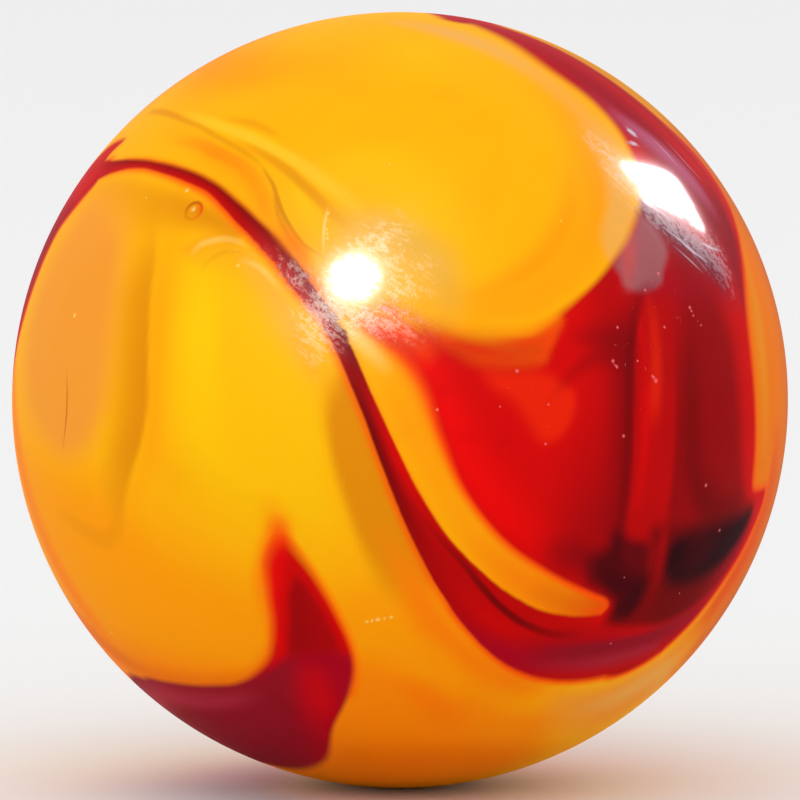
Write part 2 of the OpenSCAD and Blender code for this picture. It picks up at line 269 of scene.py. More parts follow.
# Then come the tones of the red, first in the field.
RED_FIELD = [
    ("scarlet", [[2, 12.5, 4, 3, 1], [5, 7, 5, 3, 1], [7.5, 1, 6, 3, 1], [10.5, -6, 7, 3, 0.9],
        [15, -12, 7, 3, 0.8], [21, -17.5, 5, 2, 0.3]]),
    ("crimson", [[34, 23, 6, 4, 0.5], [33, 15, 6, 7, 0.8], [33, 4, 6, 9, 0.6], [31, -6, 7, 11, 0.8],
        [29, -14, 8, 10, 1], [26, -19, 6, 6, 0.8]]),
    ("maroon", [[42.6, 24, 1.2, 4, 0.1], [39.3, 18, 1, 5, 0.7], [36.6, 12.6, 0.9, 6, 0.9],
        [35.6, 6, 0.9, 6, 0.9], [35.2, -1, 0.9, 6, 0.9], [35.2, -10, 1, 6.5, 0.9],
        [35.2, -16, 1.5, 7, 0.9], [35, -21, 3, 6, 0.6]]),
    ("crimson", 0.6, [[44, 27, 2], [39.6, 17.6, 0.8], [37, 12, 0.8], [36, 6, 0.8], [35.4, -2, 0.8],
        [35.2, -13, 0.8], [36, -18, 1.2], [44, -19, 2], [44.5, -8, 2], [45, 8, 2.5], [46, 20, 3],
        [47, 30, 4]]),
    ("maroon", 0.78, [[48.5, 27, 4], [46.5, 19, 3.2], [45.3, 10, 2.4], [44.4, 0, 1.6], [44, -10, 1.3],
        [43.6, -16, 1.6], [46, -23, 2], [48, -31, 2], [55, -31, 2.4], [64, -24, 2.5], [68, -15, 2],
        [64.5, -11, 2], [61.5, -3, 3], [60, 8, 3.5], [58.5, 18, 4.5], [55, 26, 5]]),
    ("wine", [[47.6, 14, 3, 3, 0], [47, 6, 4, 3, 0.5], [47.4, -6, 5, 3, 0.6], [53, -13, 6, 4, 0.8],
        [60, -14, 5, 4, 0.7]]),
    ("maroon", [[22, -16.5, 3, 3, 0.1], [27, -18, 3.5, 4, 0.6], [31, -20, 4, 5, 0.9],
        [36, -23, 5, 5, 1], [42, -25, 4, 4, 0.9]]),
    ("wine", 0.9, [[41, -15, 1.6], [48, -15, 2], [58, -15, 2], [67, -15, 1.6], [66, -23, 2],
        [60, -28.5, 2], [52, -31, 1.5], [44, -31.5, 1.5], [37, -30.5, 1.5], [37.4, -27, 1.2],
        [41, -24, 1.5], [42, -20, 1.5]]),
    ("night", 0.8, [[34, -15, 1.6], [37, -16.4, 1.2], [40.8, -17.6, 1.2], [42.4, -22, 1.3],
        [42.8, -26, 1.5], [41.4, -29.4, 1.5], [38, -29.2, 1.5], [36.4, -26.4, 1.1], [33.4, -24, 1.4],
        [30.8, -22.4, 2.2], [30.6, -19, 2.2], [33, -17.4, 1.8]]),
    ("night", 0.97, [[45.2, -20, 1.8], [46.4, -17.2, 1.8], [51, -15.8, 2], [57, -15.2, 2],
        [63, -14.8, 2], [67.4, -14.2, 1.6], [66, -18.8, 1.8], [61, -22.6, 2], [55, -24.6, 2.2],
        [49.6, -24.8, 2], [46.6, -23, 1.5]]),
    ("crimson", [[43.4, -13, 1.8, 1.8, 0.2], [43.7, -17.5, 1.8, 1.8, 0.75],
        [44.4, -21.5, 1.8, 1.8, 0.5], [44.6, -25, 1.6, 1.8, 0.2], [43.6, -28, 1.6, 1.8, 0]]),
    ("rose", [[58, -27, 2, 3, 0.1], [63, -23.6, 2.5, 3.5, 0.5], [67.4, -19, 2.5, 3.5, 0.6],
        [69.6, -15, 1.5, 2, 0.3]]),
    ("red", [[62.6, 22, 2, 4, 0.3], [62, 10, 2.6, 5, 0.6], [62, 0, 2.6, 5, 0.7], [64, -9, 2, 4, 0.8],
        [69.5, -11.6, 1.4, 2, 0.8], [70.6, -15.6, 2, 2, 0.8], [67.8, -22, 2, 2, 0.8],
        [62.4, -28.4, 2, 2, 0.5]]),
    ("flame", 0.95, [[1, 17, 2], [6, 18, 2], [14, 17.5, 2], [21, 18.5, 2], [25, 16.4, 0.8],
        [23.8, 13.8, 0.7], [22.5, 11.9, 0.7], [21.6, 10, 0.8], [18.6, 9.4, 1.3], [14.4, 9.4, 1.5],
        [10.4, 10.4, 1.5], [7.6, 12, 1.4], [4.6, 13.6, 1.4]]),
    ("pumpkin", [[3, 16.6, 2, 2, 0.2], [9, 15.6, 2, 2.4, 0.6], [14.5, 14.4, 2.6, 2.6, 0.8],
        [19.6, 15, 2.6, 2.6, 0.9], [23.6, 16.4, 1.6, 1.6, 0.5]]),
    ("ember", [[3.9, 15.4, 0.8, 1, 0], [7.3, 13.7, 1, 1.2, 0.5], [11.4, 12, 1, 1.2, 0.6],
        [16.2, 10.9, 1, 1, 0.3]]),
    ("ember", [[11.8, 13.8, 0.7, 0.9, 0], [15.3, 13.4, 0.8, 1, 0.5], [19.2, 13.1, 0.8, 1, 0.6],
        [22.2, 14, 0.8, 0.8, 0.2]]),
    ("fire", [[22.6, 15, 1.2, 1.4, 0.2], [22.4, 12.6, 1.2, 1.6, 0.5], [20.6, 10.8, 1.2, 1.4, 0.2]]),
    ("ember", 0.8, [[12.4, 9.2, 1.4], [17, 8.8, 1.4], [21.4, 8.4, 1.4], [24, 6.8, 1], [25.9, 5.3, 0.9],
        [25.4, 1.8, 0.9], [23.4, -0.7, 1], [20.7, -1.2, 1.5], [18.6, 1.6, 1.4], [16.6, 4.6, 1.4],
        [13.6, 6.6, 1.4]]),
    ("fire", [[-6, 16.5, 3.4, 3, 1], [-2, 16.2, 3.6, 3.6, 1], [2, 13.6, 3, 3.4, 1],
        [5.6, 10, 2, 2.4, 0]]),
    ("pumpkin", [[-7, 16.6, 2.6, 2.4, 0.9], [-3, 16.8, 2.6, 2.6, 0.6], [1, 15.8, 2, 2, 0.3],
        [4, 14, 1.6, 1.6, 0]]),
    ("ember", [[41.4, 20, 1.4, 1.4, 0.1], [41, 14, 1.8, 1.8, 0.5], [40.4, 8.6, 2, 2, 0.8],
        [39.8, 4, 2, 2, 0.6], [39.2, -1, 1.6, 1.6, 0]]),
    ("maroon", [[24.6, 13.2, 1.6, 1.6, 0], [28, 13.4, 3, 2.6, 0.35], [32, 13, 4, 3.4, 0.6],
        [35.6, 12.4, 3, 3, 0.5]]),
    ("maroon", [[21, 3.6, 1, 1, 0], [26, 8.6, 1.6, 2, 0.3], [31, 10.6, 2, 2.4, 0.4],
        [35, 9, 2, 2, 0.3]]),
    ("scarlet", [[38.6, 18, 1.2, 1.2, 0], [38.4, 10, 1.4, 1.6, 0.4], [37.8, -2, 1.4, 1.6, 0.4],
        [37.4, -11, 1.4, 1.6, 0.2]]),
]

# Where the field goes over into the band at the top, which is cooler and worn. Beside the long lamp's
# highlight it holds a painted sheen and a painted reflection.
RED_SHOULDER = [
    ("rose", [[34, 24, 4, 6, 0.1], [43, 22, 7, 6, 0.6], [52, 20, 6, 6, 0.5], [60, 22, 6, 6, 0.6],
        [65, 32, 8, 8, 1], [63, 44, 10, 12, 1], [62, 58, 10, 12, 0.9], [62, 72, 10, 12, 0.8],
        [62, 84, 8, 8, 0.6]]),
    # A painted sheen beside the long lamp's highlight: this and the next two.
    ("plum", [[57, 60, 5, 5, 0.2], [60, 50, 6, 6, 0.5], [63, 42, 6, 7, 0.6], [66, 34, 5, 7, 0.7],
        [66, 26, 4, 6, 0.6], [64, 18, 3, 4, 0.1]]),
    ("dusk", [[54, 58, 3, 4, 0], [57.5, 50, 3, 5, 0.6], [62, 43, 3, 6, 0.6], [66, 36, 3, 5, 0.5],
        [66.6, 30, 2, 4, 0]]),
    ("orchid", [[56, 51, 2, 3, 0], [59, 47, 2.6, 4, 0.7], [63, 42, 3, 4, 1], [66, 37, 3, 3.6, 0.9],
        [68, 32, 2, 3, 0.5], [68.6, 28, 2, 2, 0]]),
    ("grape", [[42, 36, 3, 3, 0], [45, 33.4, 3.5, 4, 0.8], [49, 30, 4, 5, 1], [54, 26.6, 4, 5, 1],
        [59, 22, 4, 4, 0.9], [61, 17, 3, 3, 0.2]]),
    ("plum", [[75, 38, 3, 4, 0.1], [72.5, 32, 4, 5, 0.8], [69.5, 26, 4, 5, 0.9], [66, 20, 3, 4, 0.7],
        [64.6, 13, 2, 3, 0]]),
    # A painted reflection: this and the next are the pale patch beside the long lamp's highlight.
    ("mauve", 0.9, [[44.6, 31, 1.2], [47.1, 29.2, 1], [48, 25.5, 0.9], [45.6, 22.5, 0.7],
        [44.2, 20.6, 0.6], [40.8, 19.6, 0.6], [37.3, 20.3, 0.6], [36.6, 22.2, 0.8], [36.1, 24, 0.9],
        [39.1, 26.8, 0.9], [41.7, 28.7, 0.9]]),
    ("blush", [[42.5, 29, 1.5, 1.5, 0], [39.6, 26, 2.4, 2, 0.9], [38, 22.4, 2.2, 2, 0.7],
        [37, 19, 1.5, 1.5, 0]]),
    ("plum", [[43.4, 21, 1, 1, 0.2], [41, 20, 1.6, 1.6, 0.5], [38.4, 19.8, 1, 1, 0.1]]),
    ("rose", [[77, 34, 2, 1.4, 0.5], [75, 44, 2, 1.4, 0.9], [74, 56, 2, 1.4, 0.9],
        [75, 68, 2, 1.4, 0.6]]),
    ("brick", [[84, 30, 3, 3, 0.3], [81, 40, 4, 2, 0.5], [79, 50, 4, 2, 0.5], [80, 62, 4, 2, 0.5],
        [84, 72, 3, 2, 0.3]]),
]

# In the tongue. Its cool tones towards the foot are partly a painted reflection.
RED_TONGUE = [
    ("maroon", 0.7, [[-16, -21.6, 1.1], [-14, -24.5, 0.8], [-12.4, -28.5, 0.8], [-11, -33, 0.9],
        [-14, -37, 3], [-19.7, -35.5, 1.2], [-18.4, -29.4, 0.7], [-17.7, -24.6, 0.7]]),
    ("crimson", [[-14.6, -24.6, 2, 2.4, 0.4], [-13.4, -29, 3, 3, 0.8], [-13.6, -34, 4, 4, 0.8]]),
    ("scarlet", [[-18, -15, 3.5, 3.5, 1], [-19.4, -20, 2.4, 3.5, 1], [-20.6, -26, 1.8, 3, 1],
        [-21.2, -32, 1.4, 2.5, 0.7]]),
    # Partly a painted reflection: this and the next are cooler towards the foot.
    ("rose", 0.95, [[-8.5, -35, 1.6], [-14, -34.4, 1.6], [-19.5, -35.2, 1.4], [-25, -38, 1.4],
        [-34, -41, 1.2], [-60, -41.5, 1.2], [-86, -42, 2], [-86, -64, 4], [-50, -70, 4], [-20, -64, 3],
        [-9, -50, 2], [-6.5, -40, 1.5]]),
    ("plum", 0.8, [[-19.5, -36, 1.8], [-25, -38.5, 1.4], [-34, -41.5, 1.2], [-60, -42, 1.2],
        [-86, -42, 2], [-86, -64, 4], [-50, -70, 4], [-26, -58, 4], [-22, -48, 3], [-19, -41, 2.4]]),
    ("red", [[-15.6, -36, 3, 4, 0.1], [-16, -40, 4, 6, 0.5], [-16, -45, 4, 6, 0.6],
        [-17, -51, 4, 6, 0.2]]),
    # A painted reflection along the foot of the tongue.
    ("dusk", [[-27, -42.6, 2, 3, 0], [-36, -45.5, 2.5, 4, 0.5], [-48, -47, 3, 5, 0.7],
        [-62, -47, 4, 6, 0.9], [-78, -50, 5, 6, 0.8]]),
]

# In the foot of the vein, where it sweeps under the field. Its cool lower edge is partly a painted
# reflection.
RED_SWEEP = [
    ("crimson", 0.5, [[4, -20, 1], [9, -24.6, 0.9], [14.6, -29.2, 0.9], [20, -31.6, 1],
        [28, -30.4, 1.5], [35, -30.4, 1.5], [42, -32, 1.5], [52, -32.4, 2], [62, -28.6, 2],
        [66, -34, 3], [52, -44, 3], [34, -44, 3], [24, -41, 3], [14, -36, 2], [6, -28, 1.6]]),
    ("rose", [[4, -23, 1.4, 2, 0], [9, -28, 2, 2.4, 0.5], [15, -33, 3, 3, 0.9], [22, -36, 4.5, 4, 1],
        [30, -36.4, 5.5, 4, 1], [40, -36, 5.5, 4, 1], [50, -35, 4.5, 3, 1], [58, -32, 3.5, 3, 0.9],
        [65, -26.5, 2, 2, 0.4]]),
    ("plum", [[21, -34.4, 1.6, 3, 0], [27, -34.6, 2, 5, 0.5], [35, -34.4, 1.6, 6, 0.9],
        [43, -34, 1.4, 6, 0.9], [51, -33, 1.6, 4, 0.8], [59, -30, 2, 2, 0.3]]),
    # A painted reflection along the lower edge.
    ("dusk", [[24, -37, 1.5, 2, 0.1], [32, -37.4, 2, 3, 0.3], [42, -37.4, 2.5, 3, 0.5],
        [52, -35.6, 2, 3, 0.4]]),
]

# On the back.
RED_REVERSE = [
    ("rose", [[-112, 14, 10, 10, 0.3], [-96, 18, 14, 14, 0.9], [-84, 24, 14, 16, 1], [-74, 28, 8, 8, 1],
        [-71, 35, 4, 4, 0.6]]),
    ("maroon", [[-112, 17, 3, 2, 0.2], [-128, 7, 3, 2, 0.8], [-146, -9, 3, 2, 1], [-166, -26, 4, 2, 1],
        [-188, -38, 3, 2, 0.6]]),
    ("scarlet", [[-124, 5, 2, 4, 0.4], [-140, -8, 2, 4, 0.8], [-158, -24, 2, 4, 0.7],
        [-180, -38, 2, 4, 0.3]]),
    ("maroon", [[120, 75, 4, 4, 0.3], [146, 60, 5, 5, 0.8], [155, 44, 3, 7, 1], [154, 28, 2, 6, 0.8],
        [147, 14, 2, 3, 0.4]]),
    ("night", [[150, 50, 2, 2, 0.1], [153, 40, 3, 3, 0.7], [152, 31, 2, 2, 0.1]]),
    ("scarlet", [[146, 48, 3, 4, 0.3], [148, 34, 2, 4, 0.8], [146, 20, 2, 4, 0.6],
        [139, 6, 2, 3, 0.3]]),
]
RED_TONES = RED_FIELD + RED_SHOULDER + RED_TONGUE + RED_SWEEP + RED_REVERSE

# Where red lights the amber beside it, as strokes.
GLOW = [
    [[-74, 37, 2.5, 3, 0.8], [-64, 39, 2.2, 3, 1], [-50, 38.9, 2.4, 3, 1], [-36, 35.5, 2.8, 4, 1],
        [-25, 29.5, 3, 4, 1], [-16, 22, 2.6, 4, 1], [-10, 14.5, 2.2, 4, 0.8], [-5, 4.5, 2.5, 4.5, 0.8],
        [-1.7, -3.2, 2.5, 5, 0.9], [1.3, -9.4, 3, 6, 1], [4.9, -16, 3, 7, 1], [9.3, -21.9, 3, 9, 1]],
    [[3.6, -18.4, 2, 2, 0], [7.6, -25.5, 3, 3, 0.9], [12.9, -31.3, 3, 3, 1], [22.2, -38.7, 4, 4, 1],
        [33.8, -41.5, 4, 4, 1], [43, -41.4, 4, 4, 1], [53, -38.5, 4, 4, 1], [61, -32, 5, 5, 1],
        [67, -24, 5, 5, 1], [71, -15, 5, 5, 1], [72, -9, 4, 4, 0.8]],
    [[0, 12, 3, 3, 0.7], [4, 7, 3, 3, 0.9], [6, 0, 3, 3, 1], [9.5, -8, 3, 3, 1], [16, -16, 3.5, 3.5, 1],
        [24, -21, 4, 4, 1], [33, -25.5, 4, 4, 1], [37, -29, 3, 3, 0.5]],
    [[82, 40, 4, 4, 0.5], [71, 23, 3, 3, 0.7], [64, 8, 3, 3, 0.8], [64, -4, 3, 3, 0.9],
        [68, -12, 3, 3, 0.9]],
    [[-27, -39, 3, 3, 0.2], [-21.5, -29, 3, 3, 0.6], [-20.5, -18, 4, 4, 0.7], [-16, -14, 4, 4, 0.7],
        [-12, -22, 3, 3, 0.7], [-9, -32, 3, 3, 0.8], [-9, -42, 3, 3, 0.6]],
    [[-84, 0, 5, 5, 0.6], [-80.5, 15, 5, 5, 0.8], [-78.5, 26, 4, 4, 1], [-74, 33, 3, 3, 1],
        [-73, 40, 3, 3, 0.8]],
]

# Fine lines, in groups of one colour whose lines are far apart: [turn, rise, half the width, strength].
THREADS = [
    ("umber", [
        [[-27, 40.4, 0.2, 0], [-25.7, 39.2, 0.28, 0.3], [-23.5, 37.2, 0.3, 0.45],
            [-21.9, 34.9, 0.32, 0.5], [-20.5, 32.8, 0.32, 0.5], [-18.9, 30.8, 0.32, 0.5],
            [-17.2, 28.9, 0.32, 0.5], [-15.5, 27.4, 0.3, 0.4], [-13.7, 26.5, 0.28, 0.2],
            [-12, 25.5, 0.2, 0]],
        [[128, 30, 0.3, 0], [134, 16, 0.4, 0.25], [133, 2, 0.45, 0.3], [126, -12, 0.3, 0]],
        [[-58, 7.5, 0.12, 0], [-57.3, 3.5, 0.2, 0.5], [-57.5, -0.5, 0.18, 0.55],
            [-59, -5.5, 0.12, 0]]]),
    ("umber", [
        [[-23.2, 35.9, 0.2, 0], [-22, 34, 0.3, 0.3], [-20.9, 32, 0.35, 0.4], [-19.1, 29.7, 0.35, 0.45],
            [-17.2, 27.6, 0.3, 0.4], [-15.3, 25.8, 0.25, 0.1]]]),
    ("tawny", [
        [[-76, 49, 0.7, 0.5], [-66, 49.2, 0.6, 0.7], [-55, 48.2, 0.55, 0.6], [-48, 47.2, 0.5, 0.55],
            [-42.5, 45.8, 0.5, 0.55], [-37, 44.3, 0.5, 0.55], [-32.3, 42.8, 0.45, 0.55],
            [-28.5, 41.2, 0.4, 0.4], [-26.4, 39.8, 0.3, 0.1]],
        [[-24, 45, 0.5, 0], [-29.2, 47.1, 0.6, 0.35], [-33.8, 48.3, 0.7, 0.4], [-39.2, 48.9, 0.6, 0.3],
            [-44, 49.6, 0.5, 0]],
        [[-65, -14, 1.4, 0], [-58, -16, 1.4, 0.25], [-51, -17.5, 1.4, 0.3], [-47, -14.5, 1.2, 0.2],
            [-45.5, -10, 1, 0]]]),
    ("tawny", [
        [[-33, 22, 0.3, 0], [-31.9, 24.3, 0.35, 0.2], [-30.1, 25.7, 0.35, 0.25], [-28, 26.2, 0.3, 0.25],
            [-25.4, 25.9, 0.3, 0]],
        [[174, 52, 0.8, 0], [188, 45, 1.1, 0.5], [203, 36, 1.3, 0.6], [216, 25, 1.2, 0.5],
            [226, 12, 0.8, 0]],
        [[-37, 45, 0.5, 0], [-31, 43.7, 0.7, 0.4], [-26, 42, 0.8, 0.6], [-21.2, 39.6, 0.8, 0.7],
            [-17.6, 37.2, 0.8, 0.7], [-14.3, 34.9, 0.8, 0.6], [-11.4, 32.5, 0.8, 0.35],
            [-8, 29.6, 0.6, 0]]]),
    ("pumpkin", [
        [[168, 46, 1, 0], [182, 40, 1.4, 0.5], [196, 31.5, 1.6, 0.7], [208, 21, 1.5, 0.6],
            [217, 9, 1, 0]],
        [[-54, 44, 0.8, 0], [-44.7, 43.9, 1, 0.4], [-39.8, 42.8, 1.1, 0.65], [-35, 41.6, 1.1, 0.65],
            [-31.6, 40.5, 1.1, 0.6], [-28, 38.5, 1.2, 0.45], [-25, 35.6, 1.2, 0.35],
            [-23.1, 32.4, 1.2, 0.35], [-20.8, 30.2, 1.1, 0.5], [-18.4, 28.4, 1.2, 0.8],
            [-16, 26.2, 1.1, 0.8], [-13.6, 23.6, 0.8, 0]]]),
    ("wine", [
        [[0.6, -8.5, 0.3, 0], [5.4, -14.6, 0.4, 0.3], [9.7, -19.2, 0.45, 0.6], [12.4, -22.4, 0.5, 0.8],
            [15.7, -25.8, 0.5, 0.9], [20, -28.9, 0.55, 0.85], [25, -31, 0.6, 0.6],
            [29.2, -31.8, 0.7, 0.35], [34, -32, 0.8, 0]],
        [[40.6, 21, 0.6, 0], [36, 11.5, 0.8, 0.4], [34.9, 2, 0.9, 0.4], [34.7, -8, 0.9, 0.35],
            [34.6, -14, 0.8, 0.2]],
        [[45.8, 17, 0.6, 0], [44.7, 6, 0.8, 0.3], [44.3, -4, 0.8, 0.4], [44.1, -12, 0.7, 0.25]]]),
    ("pale", [
        [[-59.7, 49.9, 0.7, 0], [-50.2, 48.8, 0.8, 0.5], [-40.8, 47.3, 0.8, 0.6],
            [-32.6, 45.6, 0.8, 0.7], [-25.6, 43.4, 0.8, 0.7], [-19.3, 41, 0.9, 0.7],
            [-13.7, 37.8, 1, 0.7], [-8.7, 34.6, 1, 0.5], [-5, 31, 0.8, 0]]]),
    ("cream", [
        [[-35.4, 25, 0.35, 0], [-34.3, 26.8, 0.45, 0.3], [-32.4, 27.6, 0.5, 0.4],
            [-29.8, 28.1, 0.45, 0.35], [-27.1, 27.7, 0.4, 0.25], [-24.7, 26.5, 0.3, 0]],
        [[-26.4, 24.9, 0.3, 0], [-23.4, 24.3, 0.4, 0.4], [-20.8, 22.7, 0.4, 0.4],
            [-18.6, 20.5, 0.3, 0]],
        # Fine scratches near the highlights, painted bright as glints: this line and the next.
        [[-12.4, 34, 0.12, 0], [-12.6, 31.6, 0.18, 0.8], [-12.6, 29.2, 0.18, 0.9],
            [-12.3, 26.6, 0.14, 0.2]],
        [[41.6, 40.6, 0.12, 0], [42.6, 38, 0.18, 0.5], [44, 35.4, 0.14, 0]]]),
    # Fine scratches beside the long lamp's highlight, pale partly as painted glints; the short, wide first
    # line of each group is a painted glint.
    ("silver", [
        [[56.6, 46.8, 0.2, 0], [56.8, 46, 0.5, 0.9], [57.3, 45.2, 0.5, 0.8], [57.7, 44.6, 0.2, 0]],
        [[46.9, 33.7, 0.12, 0.1], [50.2, 31.6, 0.2, 0.6], [53, 29.7, 0.14, 0]],
        [[57.4, 26.4, 0.12, 0], [59, 25.7, 0.2, 0.6], [61.1, 25, 0.2, 0.6], [64, 24.4, 0.12, 0]],
        [[49.7, 26.4, 0.12, 0], [53, 23.6, 0.16, 0.45], [55.5, 21.4, 0.12, 0]],
        [[68.2, 44, 0.15, 0], [69.4, 39.1, 0.2, 0.3], [71.4, 35.2, 0.15, 0]]]),
    ("silver", [
        [[52.6, 43.8, 0.2, 0], [54, 43.6, 0.4, 0.8], [54.9, 43.4, 0.4, 0.9], [55.7, 43.1, 0.2, 0]],
        [[48.7, 29.4, 0.12, 0], [51.6, 27.4, 0.2, 0.5], [54.5, 25, 0.22, 0.75], [58.4, 22.6, 0.12, 0]],
        [[62.7, 44.8, 0.15, 0], [63.9, 41.5, 0.2, 0.35], [64.9, 38, 0.15, 0]]]),
]

# Where the surface is worn fine and dull, as strokes round both highlights; its pale colour is partly
# painted highlight haze. On the shoulder the wear looks cooler.
FRONT_WEAR = [
    [[-13.5, 5, 4, 4, 0.1], [-13, 10, 6, 7, 0.5], [-11.5, 16, 8, 8, 1], [-8, 22, 9, 9, 1],
        [-3, 28, 8, 8, 0.8], [2, 33, 6, 6, 0.3], [4, 37, 5, 5, 0]],
    [[-28, 30, 2, 2, 0], [-22, 27, 2.5, 2.5, 0.3], [-16, 22.5, 4, 4, 0.8]],
    [[-6, 17, 6, 6, 1], [0, 16, 6, 6, 0.8], [6, 14, 5, 5, 0.2], [10, 12, 4, 4, 0]],
    [[0, 22, 8, 8, 0.7], [6, 24, 7, 7, 0.4], [10, 26, 5, 5, 0]],
]
SHOULDER_WEAR = [[38, 50, 3, 3, 0], [42.5, 45.5, 5, 5, 0.6], [46, 38, 7, 6, 0.9], [50, 32, 8, 7, 1],
    [55.6, 27.5, 8, 7, 1], [60, 24, 7, 7, 1], [61.7, 20.5, 5, 6, 0.8], [62, 14, 4, 5, 0]]

# Small specks, painted as bright glints: [turn, rise, half the width].
SPECKS = [[34.1, 14.6, 0.25], [49.5, 16.7, 0.32], [49.9, 15.5, 0.22], [51.3, 14, 0.2],
    [43.1, 14.2, 0.25], [32.6, 9.8, 0.3], [33.2, 8.9, 0.25], [37, 9.6, 0.2], [39.5, 7.3, 0.22],
    [40.1, 6.6, 0.38], [17.1, 8.9, 0.32], [44.4, 22.1, 0.3], [40.7, 19.8, 0.25], [5.3, 3.6, 0.25],
    [14.4, 3.9, 0.18], [21.7, 4, 0.2], [21.2, -1.6, 0.22], [33.9, -1, 0.28], [51.3, -9.3, 0.32],
    [57.5, -16.6, 0.28], [37.5, -22.5, 0.15], [51.9, -26.2, 0.15], [39.9, -34.1, 0.2],
    [-12.3, 32.6, 0.35], [-12.1, 30, 0.25], [-11.9, 28.6, 0.3], [-41.1, 35.6, 0.4], [-50.4, 33.9, 0.2],
    [-26.2, 24.1, 0.3], [-58.3, 15, 0.4], [-62.5, -34.2, 0.3], [-5.4, -28.6, 0.3], [-3.6, -28.2, 0.4],
    [-1.4, -27.8, 0.3], [-2, 41, 0.2], [28, 31, 0.2], [122, 28, 0.3], [141, 5, 0.3], [163, -30, 0.3],
    [188, 21, 0.35], [214, -9, 0.3], [236, 37, 0.3], [251, -22, 0.3]]

# A small round bubble: [turn, rise, half the width].
BUBBLE = [-37.7, 32.3, 1.55]


# ---------------------------------------------------------------- places and lines on the ball

FAR = 9.0  # farther than this from an edge, in degrees or in its blurs, nothing changes any more
CLOSE_BY = 2.0  # degrees from a rim, within which its distance is taken straight across it
ASIDE = (0.3, 0.1, 1)  # any direction that no outline's middle points in


def direction(turn, rise):
    """The direction from the ball's centre to a place on it, or to many."""
    turn, rise = np.radians(turn), np.radians(rise)
    return np.stack([np.sin(turn) * np.cos(rise), -np.cos(turn) * np.cos(rise), np.sin(rise)], -1)


def unit(vectors):
    """Vectors brought to a length of 1."""
    return vectors / np.linalg.norm(vectors, axis=-1, keepdims=True)


def degrees_between(cosine):
    """The angle that has a cosine, also where rounding has taken the cosine past 1."""
    return np.degrees(np.arccos(np.clip(cosine, -1, 1)))


def eased(share):
    """A share from 0 to 1 that starts and ends softly."""
    share = np.clip(share, 0, 1)
    return share * share * (3 - 2 * share)


def curve(a, b, c, d, t):
    """The Catmull-Rom curve from b to c, as t goes from 0 to 1, with a before them and d after them."""
    bend = 2 * a - 5 * b + 4 * c - d
    return b + t / 2 * (c - a + t * (bend + t * (3 * (b - c) + d - a)))


class Line:
    """A smooth line on the ball through a list of places, cut into short steps. What follows the turn and
    the rise of each place runs smoothly along the line too, as its extras."""

    STEP = 0.4  # degrees between its points
    BATCHES = 40  # in how many parts the spots are compared with its points, to spare memory
    WHOLE = 179.0  # degrees: a reach round the line's middle that takes in the whole ball

    def __init__(self, places, closed=False):
        places = np.array(places, float)
        knots = np.hstack([direction(places[:, 0], places[:, 1]), places[:, 2:]])
        if closed:
            before, after, beyond = (np.roll(knots, shift, 0) for shift in (1, -1, -2))
        else:
            padded = np.vstack([knots[:1], knots, knots[-1:]])
            before, after, beyond = padded[:-3], padded[2:-1], padded[3:]
            knots = knots[:-1]
        pieces = []
        for a, b, c, d in zip(before, knots, after, beyond):
            steps = max(2, round(degrees_between(unit(b[:3]) @ unit(c[:3])) / self.STEP))
            t = np.linspace(0, 1, steps, endpoint=False)[:, None]
            pieces.append(curve(a, b, c, d, t))
        if not closed:
            pieces.append(after[-1:])
        points = np.vstack(pieces)
        self.points = unit(points[:, :3])
        self.extras = points[:, 3:]
        self.closed = closed
        if closed:
            way = np.roll(self.points, -1, 0) - np.roll(self.points, 1, 0)
        else:
            way = np.gradient(self.points, axis=0)
        self.left = unit(np.cross(self.points, way))
        self.way = np.cross(self.left, self.points)
        self.middle = unit(self.points.sum(0))

    def around(self, spots, reach):
        """Which spots can be within reach of the line."""
        span = min(degrees_between(self.points @ self.middle).max() + reach, self.WHOLE)
        return np.flatnonzero(spots @ self.middle > math.cos(math.radians(span)))

    def nearest(self, spots):
        """Which of the line's points is nearest to each spot."""
        batches = np.array_split(spots, self.BATCHES)
        return np.concatenate([np.argmax(batch @ self.points.T, 1) for batch in batches])

    def near(self, spots):
        """How far each spot is left of the line and past its ends, in degrees, and the extras there."""
        nearest = self.nearest(spots)
        point, left, way = self.points[nearest], self.left[nearest], self.way[nearest]
        across = np.degrees(np.arcsin(np.clip((spots * left).sum(1), -1, 1)))
        past = np.zeros(len(spots))
        if not self.closed:
            along = np.degrees(np.arctan2((spots * way).sum(1), (spots * point).sum(1)))
            start, end = nearest == 0, nearest == len(self.points) - 1
            past = np.where(start, np.maximum(-along, 0), np.where(end, np.maximum(along, 0), 0))
        return across, past, self.extras[nearest]

    def apart(self, spots):
        """How far each spot is from the nearest of the line's points, in degrees."""
        return degrees_between((spots * self.points[self.nearest(spots)]).sum(1))


def flat_map(spots, middle):
    """The spots on a flat map of the ball that is true to angles and centred on one direction."""
    east = unit(np.cross(ASIDE, middle))
    north = np.cross(middle, east)
    depth = 1 + spots @ middle
    return (spots @ east) / depth, (spots @ north) / depth


def is_inside(x, y, rim_x, rim_y):
    """Which places of a flat map are inside a rim: a line from them to the right crosses it an odd
    number of times."""
    inside = np.zeros(len(x), bool)
    for x0, y0, x1, y1 in zip(rim_x, rim_y, np.roll(rim_x, -1), np.roll(rim_y, -1)):
        if y0 != y1:
            inside ^= ((y0 > y) != (y1 > y)) & (x < (x1 - x0) * (y - y0) / (y1 - y0) + x0)
    return inside


